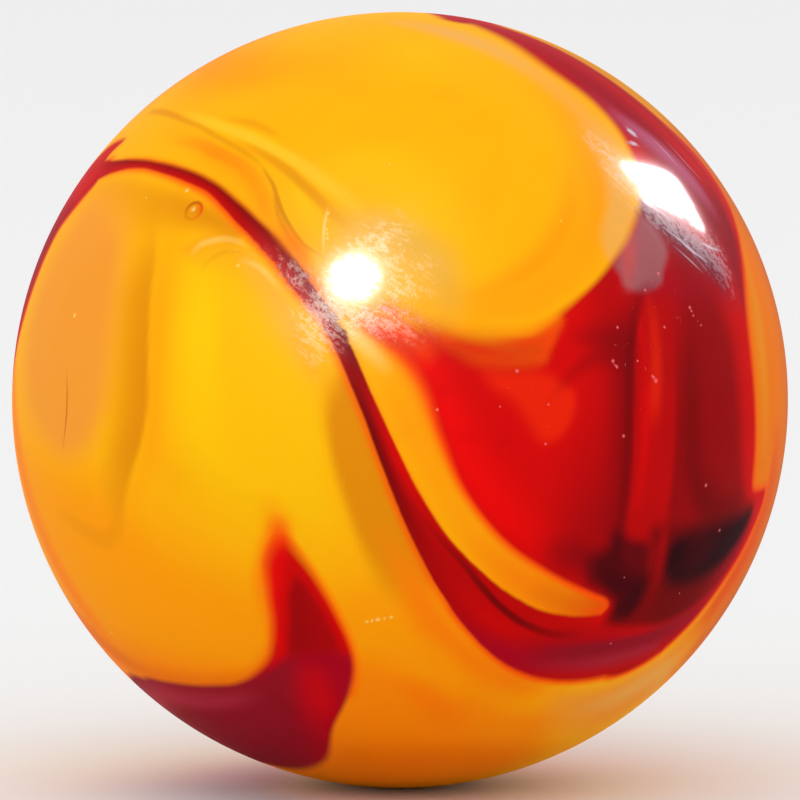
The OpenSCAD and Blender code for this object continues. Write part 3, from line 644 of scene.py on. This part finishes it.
def patch_edge(all_spots, outline):
    """How far each spot is inside an outline, in the edge's own blur and in degrees: outside, below 0."""
    rim = Line(outline, closed=True)
    near = rim.around(all_spots, FAR)
    spots = all_spots[near]
    across, _, extras = rim.near(spots)
    distance = rim.apart(spots)
    distance = np.where(distance < CLOSE_BY, np.abs(across), distance)
    inside = is_inside(*flat_map(spots, rim.middle), *flat_map(rim.points, rim.middle))
    distance = np.where(inside, distance, -distance)
    edges, distances = np.full(len(all_spots), -FAR), np.full(len(all_spots), -FAR)
    edges[near], distances[near] = distance / extras[:, 0], distance
    return edges, distances


def ribbon_edge(spots, middle):
    """The same for a ribbon that is given by its middle line."""
    across, past, extras = Line(middle).near(spots)
    distance = extras[:, 0] - np.hypot(across, past)
    return distance / extras[:, 1], distance


def stroke(spots, places):
    """How strong a soft stroke is at each spot."""
    line = Line(places)
    near = line.around(spots, max(max(place[2:4]) for place in places))
    across, past, extras = line.near(spots[near])
    reach = np.where(across > 0, extras[:, 0], extras[:, 1])
    strength = np.zeros(len(spots))
    strength[near] = extras[:, 2] * eased(1 - np.hypot(across / reach, past / extras[:, :2].max(1)))
    return strength


def patch(spots, strength, outline):
    """How strong an evenly filled outline is at each spot."""
    return strength * eased((patch_edge(spots, outline)[0] + 1) / 2)


def strongest(spots, strokes):
    """The strongest of several soft strokes at each spot."""
    return np.max([stroke(spots, places) for places in strokes], 0)


# ---------------------------------------------------------------- the ball's mesh

FACES = [  # the six sides of a cube: outward, and the ways that its two counts run
    ([0, -1, 0], [1, 0, 0], [0, 0, 1]),
    ([1, 0, 0], [0, 1, 0], [0, 0, 1]),
    ([0, 1, 0], [-1, 0, 0], [0, 0, 1]),
    ([-1, 0, 0], [0, -1, 0], [0, 0, 1]),
    ([0, 0, 1], [1, 0, 0], [0, 1, 0]),
    ([0, 0, -1], [1, 0, 0], [0, -1, 0]),
]
MAP_COLUMNS, MAP_ROWS = 3, 2  # how the six sides lie on the surface map
GUTTER = 0.012  # the margin round each side on the map, as a share of the map
MERGE_STEPS = 1e6  # steps in the ball's radius: corners that round to the same step are one


def map_place(share, number, count):
    """Where a share of the way through one of several equal fields of the map is, inside the margins."""
    margin = GUTTER * count
    return (number + margin + share * (1 - 2 * margin)) / count


def ball_grid(cells):
    """A cube of cells blown up into a ball: directions, four-sided faces and places on the map."""
    steps = np.linspace(-1, 1, cells + 1)
    u, v = np.meshgrid(steps, steps)
    blown_u, blown_v = np.tan(u * math.pi / 4)[..., None], np.tan(v * math.pi / 4)[..., None]
    index = np.arange((cells + 1) ** 2).reshape(cells + 1, cells + 1)
    corners = [index[:-1, :-1], index[:-1, 1:], index[1:, 1:], index[1:, :-1]]
    corners = np.stack(corners, -1).reshape(-1, 4)
    spots, quads, places = [], [], []
    for side, (out, across, up) in enumerate(FACES):
        points = np.array(out) + blown_u * np.array(across) + blown_v * np.array(up)
        spots.append(unit(points).reshape(-1, 3))
        quads.append(corners + side * (cells + 1) ** 2)
        row, column = divmod(side, MAP_COLUMNS)
        s = map_place((u + 1) / 2, column, MAP_COLUMNS)
        t = map_place((v + 1) / 2, row, MAP_ROWS)
        places.append(np.stack([s, t], -1).reshape(-1, 2))
    spots, quads, places = np.vstack(spots), np.vstack(quads), np.vstack(places)
    rounded = np.round(spots * MERGE_STEPS).astype(np.int64)
    _, first, merged = np.unique(rounded, axis=0, return_index=True, return_inverse=True)
    return spots[first], merged.reshape(-1)[quads], places[quads.reshape(-1)]


def ball_mesh(name, cells):
    """The ball's mesh with its surface map, and the direction of each of its points."""
    spots, quads, places = ball_grid(cells)
    mesh = bpy.data.meshes.new(name)
    mesh.from_pydata((spots * RADIUS).tolist(), [], quads.tolist())
    layer = mesh.uv_layers.new(name="OFBake")
    layer.data.foreach_set("uv", places.astype(np.float32).ravel())
    mesh.shade_smooth()
    return mesh, spots


# ---------------------------------------------------------------- what the glass is like at each point

VEIN_REACH = 30.0  # degrees: how far from the vein's middle the distance to it is kept
NO_THREAD = 99.0  # the distance to a fine line where there is none
THREAD_EDGE = 1.7  # half widths from a fine line's middle, where it has faded out
THREAD_FULL = 0.3  # half widths from its middle, within which it shows in full
THREAD_FADE = 2.0  # degrees beyond its edge, where its strength has gone down to nothing
COOLEST = 0.5  # how worn the shoulder is where its wear first looks fully cool


def add_field(mesh, name, values):
    """Stores a value, a colour or a vector at each point of a mesh."""
    values = np.asarray(values, np.float32)
    if values.ndim == 1:
        mesh.attributes.new(name, "FLOAT", "POINT").data.foreach_set("value", values)
    else:
        colours = np.column_stack([values, np.ones(len(values), np.float32)])
        mesh.attributes.new(name, "FLOAT_COLOR", "POINT").data.foreach_set("color", colours.ravel())


def laid(spots, glass, base, tones):
    """The colour at each spot after the tones are laid over a base colour."""
    colours = np.tile(getattr(glass, base)[:3], (len(spots), 1))
    for tone, *form in tones:
        share = patch(spots, *form) if len(form) == 2 else stroke(spots, *form)
        colours += np.clip(share, 0, 1)[:, None] * (np.array(getattr(glass, tone)[:3]) - colours)
    return colours


def paint_red(mesh, spots):
    """Stores how far each point is inside the red glass, and how the vein runs there."""
    patches = [patch_edge(spots, outline) for outline in (FIELD, TONGUE, SIDE)]
    patches += [ribbon_edge(spots, line) for line in (BACK_VEIN, BACK_BAND, UNDER_BAND)]
    edges, distances = np.max(patches, 0)
    add_field(mesh, "red_edge", np.clip(edges, -FAR, FAR))
    add_field(mesh, "red_distance", np.clip(distances, -FAR, FAR))
    across, past, extras = Line(VEIN).near(spots)
    add_field(mesh, "vein_across", np.clip(across, -VEIN_REACH, VEIN_REACH))
    add_field(mesh, "vein_half", extras[:, 0] - past)
    for number, name in enumerate(("blur_left", "blur_right", "dark_left", "dark_right")):
        add_field(mesh, f"vein_{name}", extras[:, number + 1])


def paint_tones(mesh, spots, glass):
    """Stores the colours of the amber and of the red, where red lights the amber, and the wear."""
    add_field(mesh, "amber_tint", laid(spots, glass, "amber", AMBER_TONES))
    add_field(mesh, "red_tint", laid(spots, glass, "red", RED_TONES))
    add_field(mesh, "glow", strongest(spots, GLOW))
    add_field(mesh, "wear", strongest(spots, FRONT_WEAR + [SHOULDER_WEAR]))
    add_field(mesh, "cool_wear", np.clip(stroke(spots, SHOULDER_WEAR) / COOLEST, 0, 1))


def paint_threads(mesh, spots):
    """Stores how far off the nearest fine line of each group is, in half widths, and its strength."""
    for number, (_, group) in enumerate(THREADS):
        nearest, offset = np.full(len(spots), NO_THREAD), np.full(len(spots), NO_THREAD)
        strength = np.zeros(len(spots))
        for places in group:
            across, past, extras = Line(places).near(spots)
            distance = np.hypot(across, past)
            closer = distance < nearest
            half = extras[:, 0]
            fading = np.clip(1 - past, 0, 1) * np.clip(THREAD_EDGE * half + THREAD_FADE - distance, 0, 1)
            nearest = np.where(closer, distance, nearest)
            offset = np.where(closer, across / half, offset)
            strength = np.where(closer, extras[:, 1] * fading, strength)
        add_field(mesh, f"thread_{number}", np.clip(offset, -NO_THREAD, NO_THREAD))
        add_field(mesh, f"thread_{number}_strength", strength)


def paint_spots(mesh, spots):
    """Stores where each point lies from the middles of the nearest speck and of the bubble."""
    specks = np.array(SPECKS)
    middles = direction(specks[:, 0], specks[:, 1])
    nearest = np.argmax(spots @ middles.T, 1)
    add_field(mesh, "speck", (spots - middles[nearest]) / np.radians(specks[nearest, 2:]))
    turn, rise, half = BUBBLE
    middle = direction(turn, rise)
    east = unit(np.cross([0, 0, 1], middle))
    places = np.stack([spots @ east, spots @ np.cross(middle, east), 1 - spots @ middle], -1)
    add_field(mesh, "bubble", places / math.radians(half))


# ---------------------------------------------------------------- materials


class Value:
    """A number that a socket gives. An expression on it adds the Math nodes that work it out."""

    def __init__(self, nodes, socket):
        self.nodes, self.socket = nodes, socket

    def __add__(self, other):
        return self.nodes.math("ADD", self, other)

    def __sub__(self, other):
        return self.nodes.math("SUBTRACT", self, other)

    def __rsub__(self, other):
        return self.nodes.math("SUBTRACT", other, self)

    def __mul__(self, other):
        return self.nodes.math("MULTIPLY", self, other)

    def __truediv__(self, other):
        return self.nodes.math("DIVIDE", self, other)

    def __rtruediv__(self, other):
        return self.nodes.math("DIVIDE", other, self)

    def __abs__(self):
        return self.nodes.math("ABSOLUTE", self)

    __radd__ = __add__
    __rmul__ = __mul__

    def most(self, other):
        """The larger of two values."""
        return self.nodes.math("MAXIMUM", self, other)


class Nodes:
    """The nodes of one material or world."""

    def __init__(self, tree):
        self.tree = tree
        tree.nodes.clear()

    def node(self, kind, settings=None, inputs=()):
        """Adds a node. Its settings are set first, then its sockets, which go by name or by number."""
        node = self.tree.nodes.new(kind)
        for name, value in (settings or {}).items():
            setattr(node, name, value)
        pairs = inputs.items() if isinstance(inputs, dict) else enumerate(inputs)
        for key, value in pairs:
            self.set(node.inputs[key], value)
        return node

    def set(self, socket, value):
        """Gives a socket a link, a number, a colour or a vector."""
        if isinstance(value, Value):
            value = value.socket
        if isinstance(value, bpy.types.NodeSocket):
            self.tree.links.new(value, socket)
        else:
            socket.default_value = value

    def math(self, operation, *inputs):
        """A value worked out from others."""
        return Value(self, self.node("ShaderNodeMath", {"operation": operation}, inputs).outputs[0])


class Shader(Nodes):
    """The nodes of one material, with one Principled surface that shows until another shader is shown."""

    def __init__(self, name, sockets):
        self.material = bpy.data.materials.new(name)
        self.material.use_nodes = True
        super().__init__(self.material.node_tree)
        self.output = self.node("ShaderNodeOutputMaterial")
        self.surface = self.node("ShaderNodeBsdfPrincipled", None, sockets)
        self.show(self.surface)

    def show(self, node):
        """Makes a node's shader the one that shows."""
        self.tree.links.new(node.outputs[0], self.output.inputs["Surface"])

    def field(self, name):
        """A value that the mesh holds at each point."""
        return Value(self, self.node("ShaderNodeAttribute", {"attribute_name": name}).outputs["Fac"])

    def tint(self, name):
        """A colour or a vector that the mesh holds at each point."""
        return self.node("ShaderNodeAttribute", {"attribute_name": name}).outputs["Color"]

    def noise(self, vector, scale, detail, roughness=0.5, distortion=0.0):
        """A random pattern, mostly near 0.5."""
        sockets = {"Vector": vector, "Scale": scale, "Detail": detail, "Roughness": roughness,
                   "Distortion": distortion}
        return Value(self, self.node("ShaderNodeTexNoise", None, sockets).outputs["Fac"])

    def measure(self, operation, vector, other=(0, 0, 0)):
        """A vector's length, its distance from another or its dot product with another."""
        node = self.node("ShaderNodeVectorMath", {"operation": operation}, [vector, other])
        return Value(self, node.outputs["Value"])

    def smooth(self, value, start, end):
        """0 up to a start and 1 from an end, with a soft step between. The end may be the lower one."""
        sockets = {"Value": value, "From Min": start, "From Max": end}
        node = self.node("ShaderNodeMapRange", {"interpolation_type": "SMOOTHSTEP"}, sockets)
        return Value(self, node.outputs[0])

    def mix(self, amount, first, second):
        """A colour between two colours. They go into the node at 6 and 7, and the mix comes out at 2."""
        node = self.node("ShaderNodeMix", {"data_type": "RGBA"}, {0: amount, 6: first, 7: second})
        return node.outputs[2]


def srgb(red, green, blue):
    """A colour written as on a screen, from 0 to 255, as the linear colour that Blender works in."""
    def linear(level):
        level /= 255
        return level / 12.92 if level <= 0.04045 else ((level + 0.055) / 1.055) ** 2.4
    return (linear(red), linear(green), linear(blue), 1.0)


# How fine the patterns in the glass are, in waves to a metre.
FLOW_WAVES = 260.0
RIPPLE_WAVES = 1100.0
GRAIN_WAVES = 9000.0
SCRATCH_WAVES = (10500.0, 10500.0, 1500.0)  # fine across the scratches and long along them
SCRATCH_LEAN = 0.9  # radians that the scratches lean from upright

# How far the edges of the red go astray, and how far it lights the amber, in degrees.
VEIN_RIPPLE = 0.4
WORN_EDGE = 3.0
GLOW_REACH = 1.7

WORN_MARKS = 0.16  # how much more of the grain and the scratches shows where the glass is fully worn

# How strongly each thing shows, where 1 hides what is under it.
AMBER_FLOW = 0.12
RED_FLOW = 0.2
FULL_GLOW = 0.95
SPECK = 0.75
# The worn places are paled partly by scratches and partly as painted highlight haze.
SCRATCH_AND_HIGHLIGHT_HAZE = 0.2
BUBBLE_SHADE = 0.35
BUBBLE_RIM = 0.85
BUBBLE_RIM_LOSS = 0.6  # what the rim loses at its foot
BUBBLE_GLINT = 0.6

# Places and directions in the bubble, in its half widths: to the right, up and in.
RIM_RADIUS = 0.88
LIT_WAY = (0.8, -0.2, 0)
FOOT_WAY = (-0.3, -0.9, 0)
SHADE_PLACE = (0.5, 0.25, 0)
GLINT_PLACE = (-0.1, 0.16, 0)

COAT = 0.1  # how much clear gloss the sound glass has
COAT_LOSS = 0.085  # how much of that is gone where the glass is dull
PIT_DEPTH = 2e-5  # metres

# How much of the light comes off broken, bright edges: everywhere, where worn, and where worn dull.
FROST = 0.0003
WORN_FROST = 0.001
DULL_FROST = 0.0036


class Wear:
    """The worn surface: how worn it is, its grain, how far it tears an edge and where it is dull."""

    def __init__(self, shader, place):
        self.amount = shader.field("wear")
        self.grain = shader.noise(place, GRAIN_WAVES, detail=4.0, roughness=0.7)
        lean = {"Vector": place, "Rotation": (0.0, SCRATCH_LEAN, 0.0)}
        leaning = shader.node("ShaderNodeMapping", None, lean).outputs[0]
        multiply = {"operation": "MULTIPLY"}
        drawn_out = shader.node("ShaderNodeVectorMath", multiply, [leaning, SCRATCH_WAVES]).outputs[0]
        scratch = shader.noise(drawn_out, 1.0, detail=3.0, roughness=0.6)
        self.tear = (scratch - 0.5) * self.amount * WORN_EDGE
        marks = shader.smooth((self.grain + scratch) / 2 + self.amount * WORN_MARKS, 0.56, 0.67)
        self.dull = marks * shader.smooth(self.amount, 0.0, 0.5)


def swirl(shader, glass, place, wear):
    """The colour of the amber and the red glass, and the red's share of it."""
    half, across = shader.field("vein_half"), shader.field("vein_across")
    ripple = shader.noise(place, RIPPLE_WAVES, detail=3.0, roughness=0.6)
    distance = half - abs(across) + (ripple - 0.5) * VEIN_RIPPLE + wear.tear
    left = shader.smooth(across / half, -0.7, 0.7)
    blur = shader.field("vein_blur_right") * (1 - left) + shader.field("vein_blur_left") * left
    dark = shader.field("vein_dark_right") * (1 - left) + shader.field("vein_dark_left") * left
    red_share = shader.smooth((distance / blur).most(shader.field("red_edge") + wear.tear), -1.0, 1.0)
    beside = shader.smooth(distance.most(shader.field("red_distance")), -GLOW_REACH, 0.0)
    glow = beside * shader.field("glow")

    flow = shader.noise(place, FLOW_WAVES, detail=3.0, distortion=1.4)
    amber_flow = shader.smooth(flow, 0.5, 0.75) * AMBER_FLOW
    amber = shader.mix(amber_flow, shader.tint("amber_tint"), glass.tawny)
    amber = shader.mix(glow * FULL_GLOW, amber, glass.fire)
    red_flow = shader.smooth(flow, 0.45, 0.7) * RED_FLOW
    red = shader.mix(red_flow, shader.tint("red_tint"), glass.maroon)
    red = shader.mix(dark * shader.smooth(distance, -1.0, 0.0), red, glass.wine)
    return shader.mix(red_share, amber, red), red_share


def with_threads(shader, glass, colour):
    """A colour with the fine lines over it."""
    for number, (tone, _) in enumerate(THREADS):
        line = shader.smooth(abs(shader.field(f"thread_{number}")), THREAD_EDGE, THREAD_FULL)
        strength = shader.field(f"thread_{number}_strength")
        colour = shader.mix(line * strength, colour, getattr(glass, tone))
    return colour


def with_bubble(shader, glass, colour):
    """A colour with the bubble over it: its shade, its rim, lit on one side, and its spot of light."""
    place = shader.tint("bubble")
    rim = shader.smooth(abs(shader.measure("LENGTH", place) - RIM_RADIUS), 0.3, 0.04)
    lit = shader.smooth(shader.measure("DOT_PRODUCT", place, LIT_WAY), -0.3, 0.6)
    foot = shader.smooth(shader.measure("DOT_PRODUCT", place, FOOT_WAY), -0.6, 0.9)
    shade = shader.smooth(shader.measure("DISTANCE", place, SHADE_PLACE), 0.65, 0.1)
    glint = shader.smooth(shader.measure("DISTANCE", place, GLINT_PLACE), 0.4, 0.05)
    colour = shader.mix(shade * BUBBLE_SHADE, colour, glass.flame)
    rim_colour = shader.mix(lit, glass.copper, glass.flame)
    colour = shader.mix(rim * (BUBBLE_RIM - foot * BUBBLE_RIM_LOSS), colour, rim_colour)
    return shader.mix(glint * BUBBLE_GLINT, colour, glass.glint)


def with_specks(shader, glass, colour, red_share):
    """A colour with the specks over it, painted as bright glints."""
    speck = shader.smooth(shader.measure("LENGTH", shader.tint("speck")), 1.3, 0.1)
    return shader.mix(speck * SPECK, colour, shader.mix(red_share, glass.glint, glass.dust_and_glint))


def add_frost(shader, wear):
    """Mixes in a trace of a bright, pitted surface, for the light that fine scratches throw about."""
    relief = {"Strength": 0.6, "Distance": PIT_DEPTH, "Height": wear.grain}
    pits = shader.node("ShaderNodeBump", None, relief).outputs[0]
    metal = {"Base Color": (1, 1, 1, 1), "Metallic": 1.0, "Roughness": 0.38, "Normal": pits}
    frost = shader.node("ShaderNodeBsdfPrincipled", None, metal)
    amount = wear.amount * (WORN_FROST + wear.dull * DULL_FROST) + FROST
    both = [amount, shader.surface.outputs[0], frost.outputs[0]]
    shader.show(shader.node("ShaderNodeMixShader", None, both))


def glass_material(glass):
    """Opaque swirled glass under a thin clear gloss, scratched dull where it is worn and paled there,
    partly as painted highlight haze.
    """
    sockets = {"Roughness": 0.4, "IOR": 1.5, "Specular IOR Level": 0.0, "Coat Roughness": 0.11,
               "Coat IOR": 1.5}
    shader = Shader("swirl glass", sockets)
    place = shader.node("ShaderNodeTexCoord").outputs["Object"]
    wear = Wear(shader, place)
    colour, red_share = swirl(shader, glass, place, wear)
    colour = with_threads(shader, glass, colour)
    colour = with_bubble(shader, glass, colour)
    colour = with_specks(shader, glass, colour, red_share)
    # Scratch whitening and painted highlight haze: the worn, dull places are paled.
    haze = shader.mix(shader.field("cool_wear"), glass.haze, glass.silver)
    colour = shader.mix(wear.dull * wear.amount * SCRATCH_AND_HIGHLIGHT_HAZE, colour, haze)
    shader.set(shader.surface.inputs["Base Color"], colour)
    shader.set(shader.surface.inputs["Coat Weight"], COAT - wear.dull * COAT_LOSS)
    add_frost(shader, wear)
    return shader.material


def floor_material(colour):
    """A matt floor."""
    return Shader("floor", {"Base Color": colour, "Roughness": 0.6, "Specular IOR Level": 0.0}).material


# ---------------------------------------------------------------- settings


def colour_property(name, description, *levels):
    """A colour setting whose default is written as on a screen, from 0 to 255."""
    return bpy.props.FloatVectorProperty(
        name=name, description=description, default=srgb(*levels), size=4, min=0, max=1, subtype="COLOR")


class MarbleGlass(bpy.types.PropertyGroup):
    cells: bpy.props.IntProperty(
        name="Cells", description="Cells along each side of the ball's grid", default=128)
    amber: colour_property("Amber", "The main glass", 255, 178, 0)
    honey: colour_property("Honey", "Bright amber", 255, 192, 0)
    gold: colour_property("Gold", "The brightest amber", 255, 200, 0)
    orange: colour_property("Orange", "Deeper amber", 255, 152, 0)
    # Also painted shade along the left limb and round the foot.
    pumpkin: colour_property("Pumpkin", "Orange amber", 254, 131, 0)
    # Also painted shade: darker along the limbs and towards the bottom.
    rust: colour_property("Rust", "Amber over red", 238, 116, 0)
    # Also painted shade along the right limb.
    umber: colour_property("Umber", "The darkest amber", 176, 72, 4)
    copper: colour_property("Copper", "The dark side of the bubble's rim", 190, 84, 0)
    tawny: colour_property("Tawny", "The darker lines in the amber", 226, 136, 0)
    apricot: colour_property("Apricot", "Warm pale amber", 236, 138, 24)
    # Also a painted reflection low on the right.
    peach: colour_property("Peach", "Milky amber", 245, 155, 48)
    # Also painted reflections, beside the long lamp's highlight and low on the right.
    milk: colour_property("Milk", "The palest wisps", 240, 172, 78)
    fire: colour_property("Fire", "Amber beside red", 253, 68, 0)
    flame: colour_property("Flame", "Thin red over amber", 234, 72, 0)
    ember: colour_property("Ember", "Red warmed by amber", 238, 36, 0)
    scarlet: colour_property("Scarlet", "Bright red", 238, 0, 0)
    red: colour_property("Red", "The main red", 212, 0, 0)
    crimson: colour_property("Crimson", "Darker red", 172, 0, 4)
    maroon: colour_property("Maroon", "Deep red", 126, 0, 6)
    wine: colour_property("Wine", "The dark of the vein", 108, 0, 2)
    night: colour_property("Night", "Where the red is deepest", 36, 0, 8)
    # Partly a painted reflection towards the limbs and the foot.
    rose: colour_property("Rose", "Cool red", 166, 0, 28)
    # Partly a painted sheen beside the long lamp's highlight, and a painted reflection at the foot.
    plum: colour_property("Plum", "Cool dark red", 138, 16, 34)
    # A painted sheen and reflection: beside the long lamp's highlight and at the foot.
    dusk: colour_property("Dusk", "Hazy cool red", 176, 42, 62)
    # A painted reflection beside the long lamp's highlight.
    mauve: colour_property("Mauve", "Red under coarse scratches", 164, 98, 104)
    # A brighter part of the same painted reflection.
    blush: colour_property("Blush", "Bright red under coarse scratches", 206, 88, 86)
    grape: colour_property("Grape", "Dark red under fine scratches", 112, 14, 46)
    # A painted sheen beside the long lamp's highlight.
    orchid: colour_property("Orchid", "Cool red under fine scratches", 184, 84, 116)
    brick: colour_property("Brick", "Pale brick red", 182, 52, 44)
    glint: colour_property("Glint", "Specks and the light in the bubble", 255, 214, 120)
    # Partly painted highlight haze.
    khaki: colour_property("Khaki", "Amber under coarse scratches", 228, 174, 62)
    pale: colour_property("Pale", "The light lines in the amber", 254, 196, 44)
    # Partly painted highlight haze and glints.
    cream: colour_property("Cream", "Amber under fine scratches", 252, 208, 112)
    # Partly painted highlight haze.
    haze: colour_property("Haze", "Fine scratches", 250, 210, 160)
    # Partly painted highlight haze and glints.
    silver: colour_property("Silver", "Fine scratches on the red", 206, 190, 206)
    # Specks on the red, painted as glints.
    dust_and_glint: colour_property("Dust", "Specks on the red", 250, 120, 120)

class MarbleStage(bpy.types.PropertyGroup):
    floor: colour_property("Floor", "The floor and the backdrop", 237, 237, 237)
    ambient: bpy.props.FloatProperty(
        name="Ambient", description="Strength of the even light", default=0.96)
    backdrop: bpy.props.FloatProperty(
        name="Backdrop", description="Strength of the backdrop as it is seen", default=1.0)
    soft_power: bpy.props.FloatProperty(
        name="Soft", description="Brightness of the wide soft lamp", default=0.48)
    key_power: bpy.props.FloatProperty(
        name="Key", description="Brightness of the round lamp", default=1200.0)
    strip_power: bpy.props.FloatProperty(
        name="Strip", description="Brightness of the long lamp", default=450.0)
    elevation: bpy.props.FloatProperty(
        name="Elevation", description="How far the camera looks down", default=math.radians(5),
        unit="ROTATION")
    distance: bpy.props.FloatProperty(
        name="Distance", description="From the ball's centre to the camera", default=0.2, unit="LENGTH")


# ---------------------------------------------------------------- the floor, the light and the camera

FLOOR_HALF = 3.0  # metres from the ball to the floor's edges
LAMP_DISTANCE = 0.8  # metres from the ball to each lamp
SENSOR_WIDTH = 36.0  # millimetres
BALL_SHARE = 0.97  # how much of the picture's width the ball takes


def placed(name, data):
    """A new object in the scene."""
    item = bpy.data.objects.new(name, data)
    bpy.context.scene.collection.objects.link(item)
    return item


def add_floor(stage):
    """Puts a wide floor under the ball."""
    corners = [(x * FLOOR_HALF, y * FLOOR_HALF, -RADIUS) for x, y in ((-1, -1), (1, -1), (1, 1), (-1, 1))]
    mesh = bpy.data.meshes.new("floor")
    mesh.from_pydata(corners, [], [(0, 1, 2, 3)])
    mesh.materials.append(floor_material(stage.floor))
    placed("floor", mesh)


def studio_world(stage):
    """Even light from all round, and a backdrop of its own strength, also as gloss and glass show it."""
    world = bpy.data.worlds.new("studio")
    world.use_nodes = True
    studio = Nodes(world.node_tree)
    rays = studio.node("ShaderNodeLightPath").outputs
    seen = Value(studio, rays["Is Camera Ray"])
    seen = seen.most(rays["Is Glossy Ray"]).most(rays["Is Transmission Ray"])
    levels = {"Value": seen, "To Min": stage.ambient, "To Max": stage.backdrop}
    strength = studio.node("ShaderNodeMapRange", None, levels).outputs[0]
    light = studio.node("ShaderNodeBackground", None, {"Color": (1, 1, 1, 1), "Strength": strength})
    studio.node("ShaderNodeOutputWorld", None, {"Surface": light.outputs[0]})
    return world


def add_lamp(name, place, size, radiance, shape="RECTANGLE", diffuse=True, roll=0):
    """Adds a lamp that faces the ball from a place round it. Its radiance is how bright its face looks."""
    data = bpy.data.lights.new(name, "AREA")
    data.shape = shape
    data.size, data.size_y = size
    area = size[0] * size[1] * (math.pi / 4 if shape == "DISK" else 1)
    data.energy = radiance * area * math.pi
    lamp = placed(name, data)
    lamp.visible_diffuse = diffuse
    way = Vector(direction(*place))
    lamp.location = way * LAMP_DISTANCE
    turned = way.to_track_quat("Z", "Y") @ Quaternion((0, 0, 1), math.radians(roll))
    lamp.rotation_euler = turned.to_euler()


def add_camera(stage):
    """Adds a camera that faces the front of the ball, with its lens worked out from the ball's size."""
    data = bpy.data.cameras.new("camera")
    data.sensor_width = SENSOR_WIDTH
    half_view = math.tan(math.asin(RADIUS / stage.distance)) / BALL_SHARE
    data.lens = SENSOR_WIDTH / 2 / half_view
    data.clip_start, data.clip_end = 0.01, 20
    camera = placed("camera", data)
    way = Vector(direction(0, math.degrees(stage.elevation)))
    camera.location = way * stage.distance
    camera.rotation_euler = way.to_track_quat("Z", "Y").to_euler()
    return camera


# ---------------------------------------------------------------- operators


class MARBLE_OT_ball(bpy.types.Operator):
    """Build the swirled ball"""

    bl_idname = "marble.ball"
    bl_label = "Ball"

    def execute(self, context):
        glass = context.scene.marble_glass
        mesh, spots = ball_mesh("glass_ball", glass.cells)
        paint_red(mesh, spots)
        paint_tones(mesh, spots, glass)
        paint_threads(mesh, spots)
        paint_spots(mesh, spots)
        mesh.materials.append(glass_material(glass))
        ball = placed("glass_ball", mesh)
        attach(ball, "root")
        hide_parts("marble")
        return {"FINISHED"}


class MARBLE_OT_stage(bpy.types.Operator):
    """Build the floor, the lamps and the camera"""

    bl_idname = "marble.stage"
    bl_label = "Stage"

    def execute(self, context):
        scene, stage = context.scene, context.scene.marble_stage
        add_floor(stage)
        scene.world = studio_world(stage)
        add_lamp("soft_lamp", (-20, 50), (0.9, 0.9), stage.soft_power)
        add_lamp("round_lamp", (-16.6, 40.4), (0.18, 0.18), stage.key_power, "DISK", diffuse=False)
        add_lamp("tall_lamp", (126.3, 30.8), (0.28, 0.13), stage.strip_power, diffuse=False, roll=132)
        scene.camera = add_camera(stage)
        scene.view_settings.view_transform = "Standard"
        return {"FINISHED"}


class MARBLE_PT_panel(bpy.types.Panel):
    bl_label = "Marble"
    bl_idname = "MARBLE_PT_panel"
    bl_space_type = "VIEW_3D"
    bl_region_type = "UI"
    bl_category = "Marble"

    def draw(self, context):
        for settings in (context.scene.marble_glass, context.scene.marble_stage):
            for name in settings.__annotations__:
                self.layout.prop(settings, name)
        for operator in (MARBLE_OT_ball, MARBLE_OT_stage):
            self.layout.operator(operator.bl_idname)


CLASSES = (MarbleGlass, MarbleStage, MARBLE_OT_ball, MARBLE_OT_stage, MARBLE_PT_panel)


def register():
    for cls in CLASSES:
        bpy.utils.register_class(cls)
    bpy.types.Scene.marble_glass = bpy.props.PointerProperty(type=MarbleGlass)
    bpy.types.Scene.marble_stage = bpy.props.PointerProperty(type=MarbleStage)


def unregister():
    del bpy.types.Scene.marble_stage
    del bpy.types.Scene.marble_glass
    for cls in reversed(CLASSES):
        bpy.utils.unregister_class(cls)


def main():
    register()
    bpy.ops.marble.ball()
    bpy.ops.marble.stage()


if __name__ == "__main__":
    main()
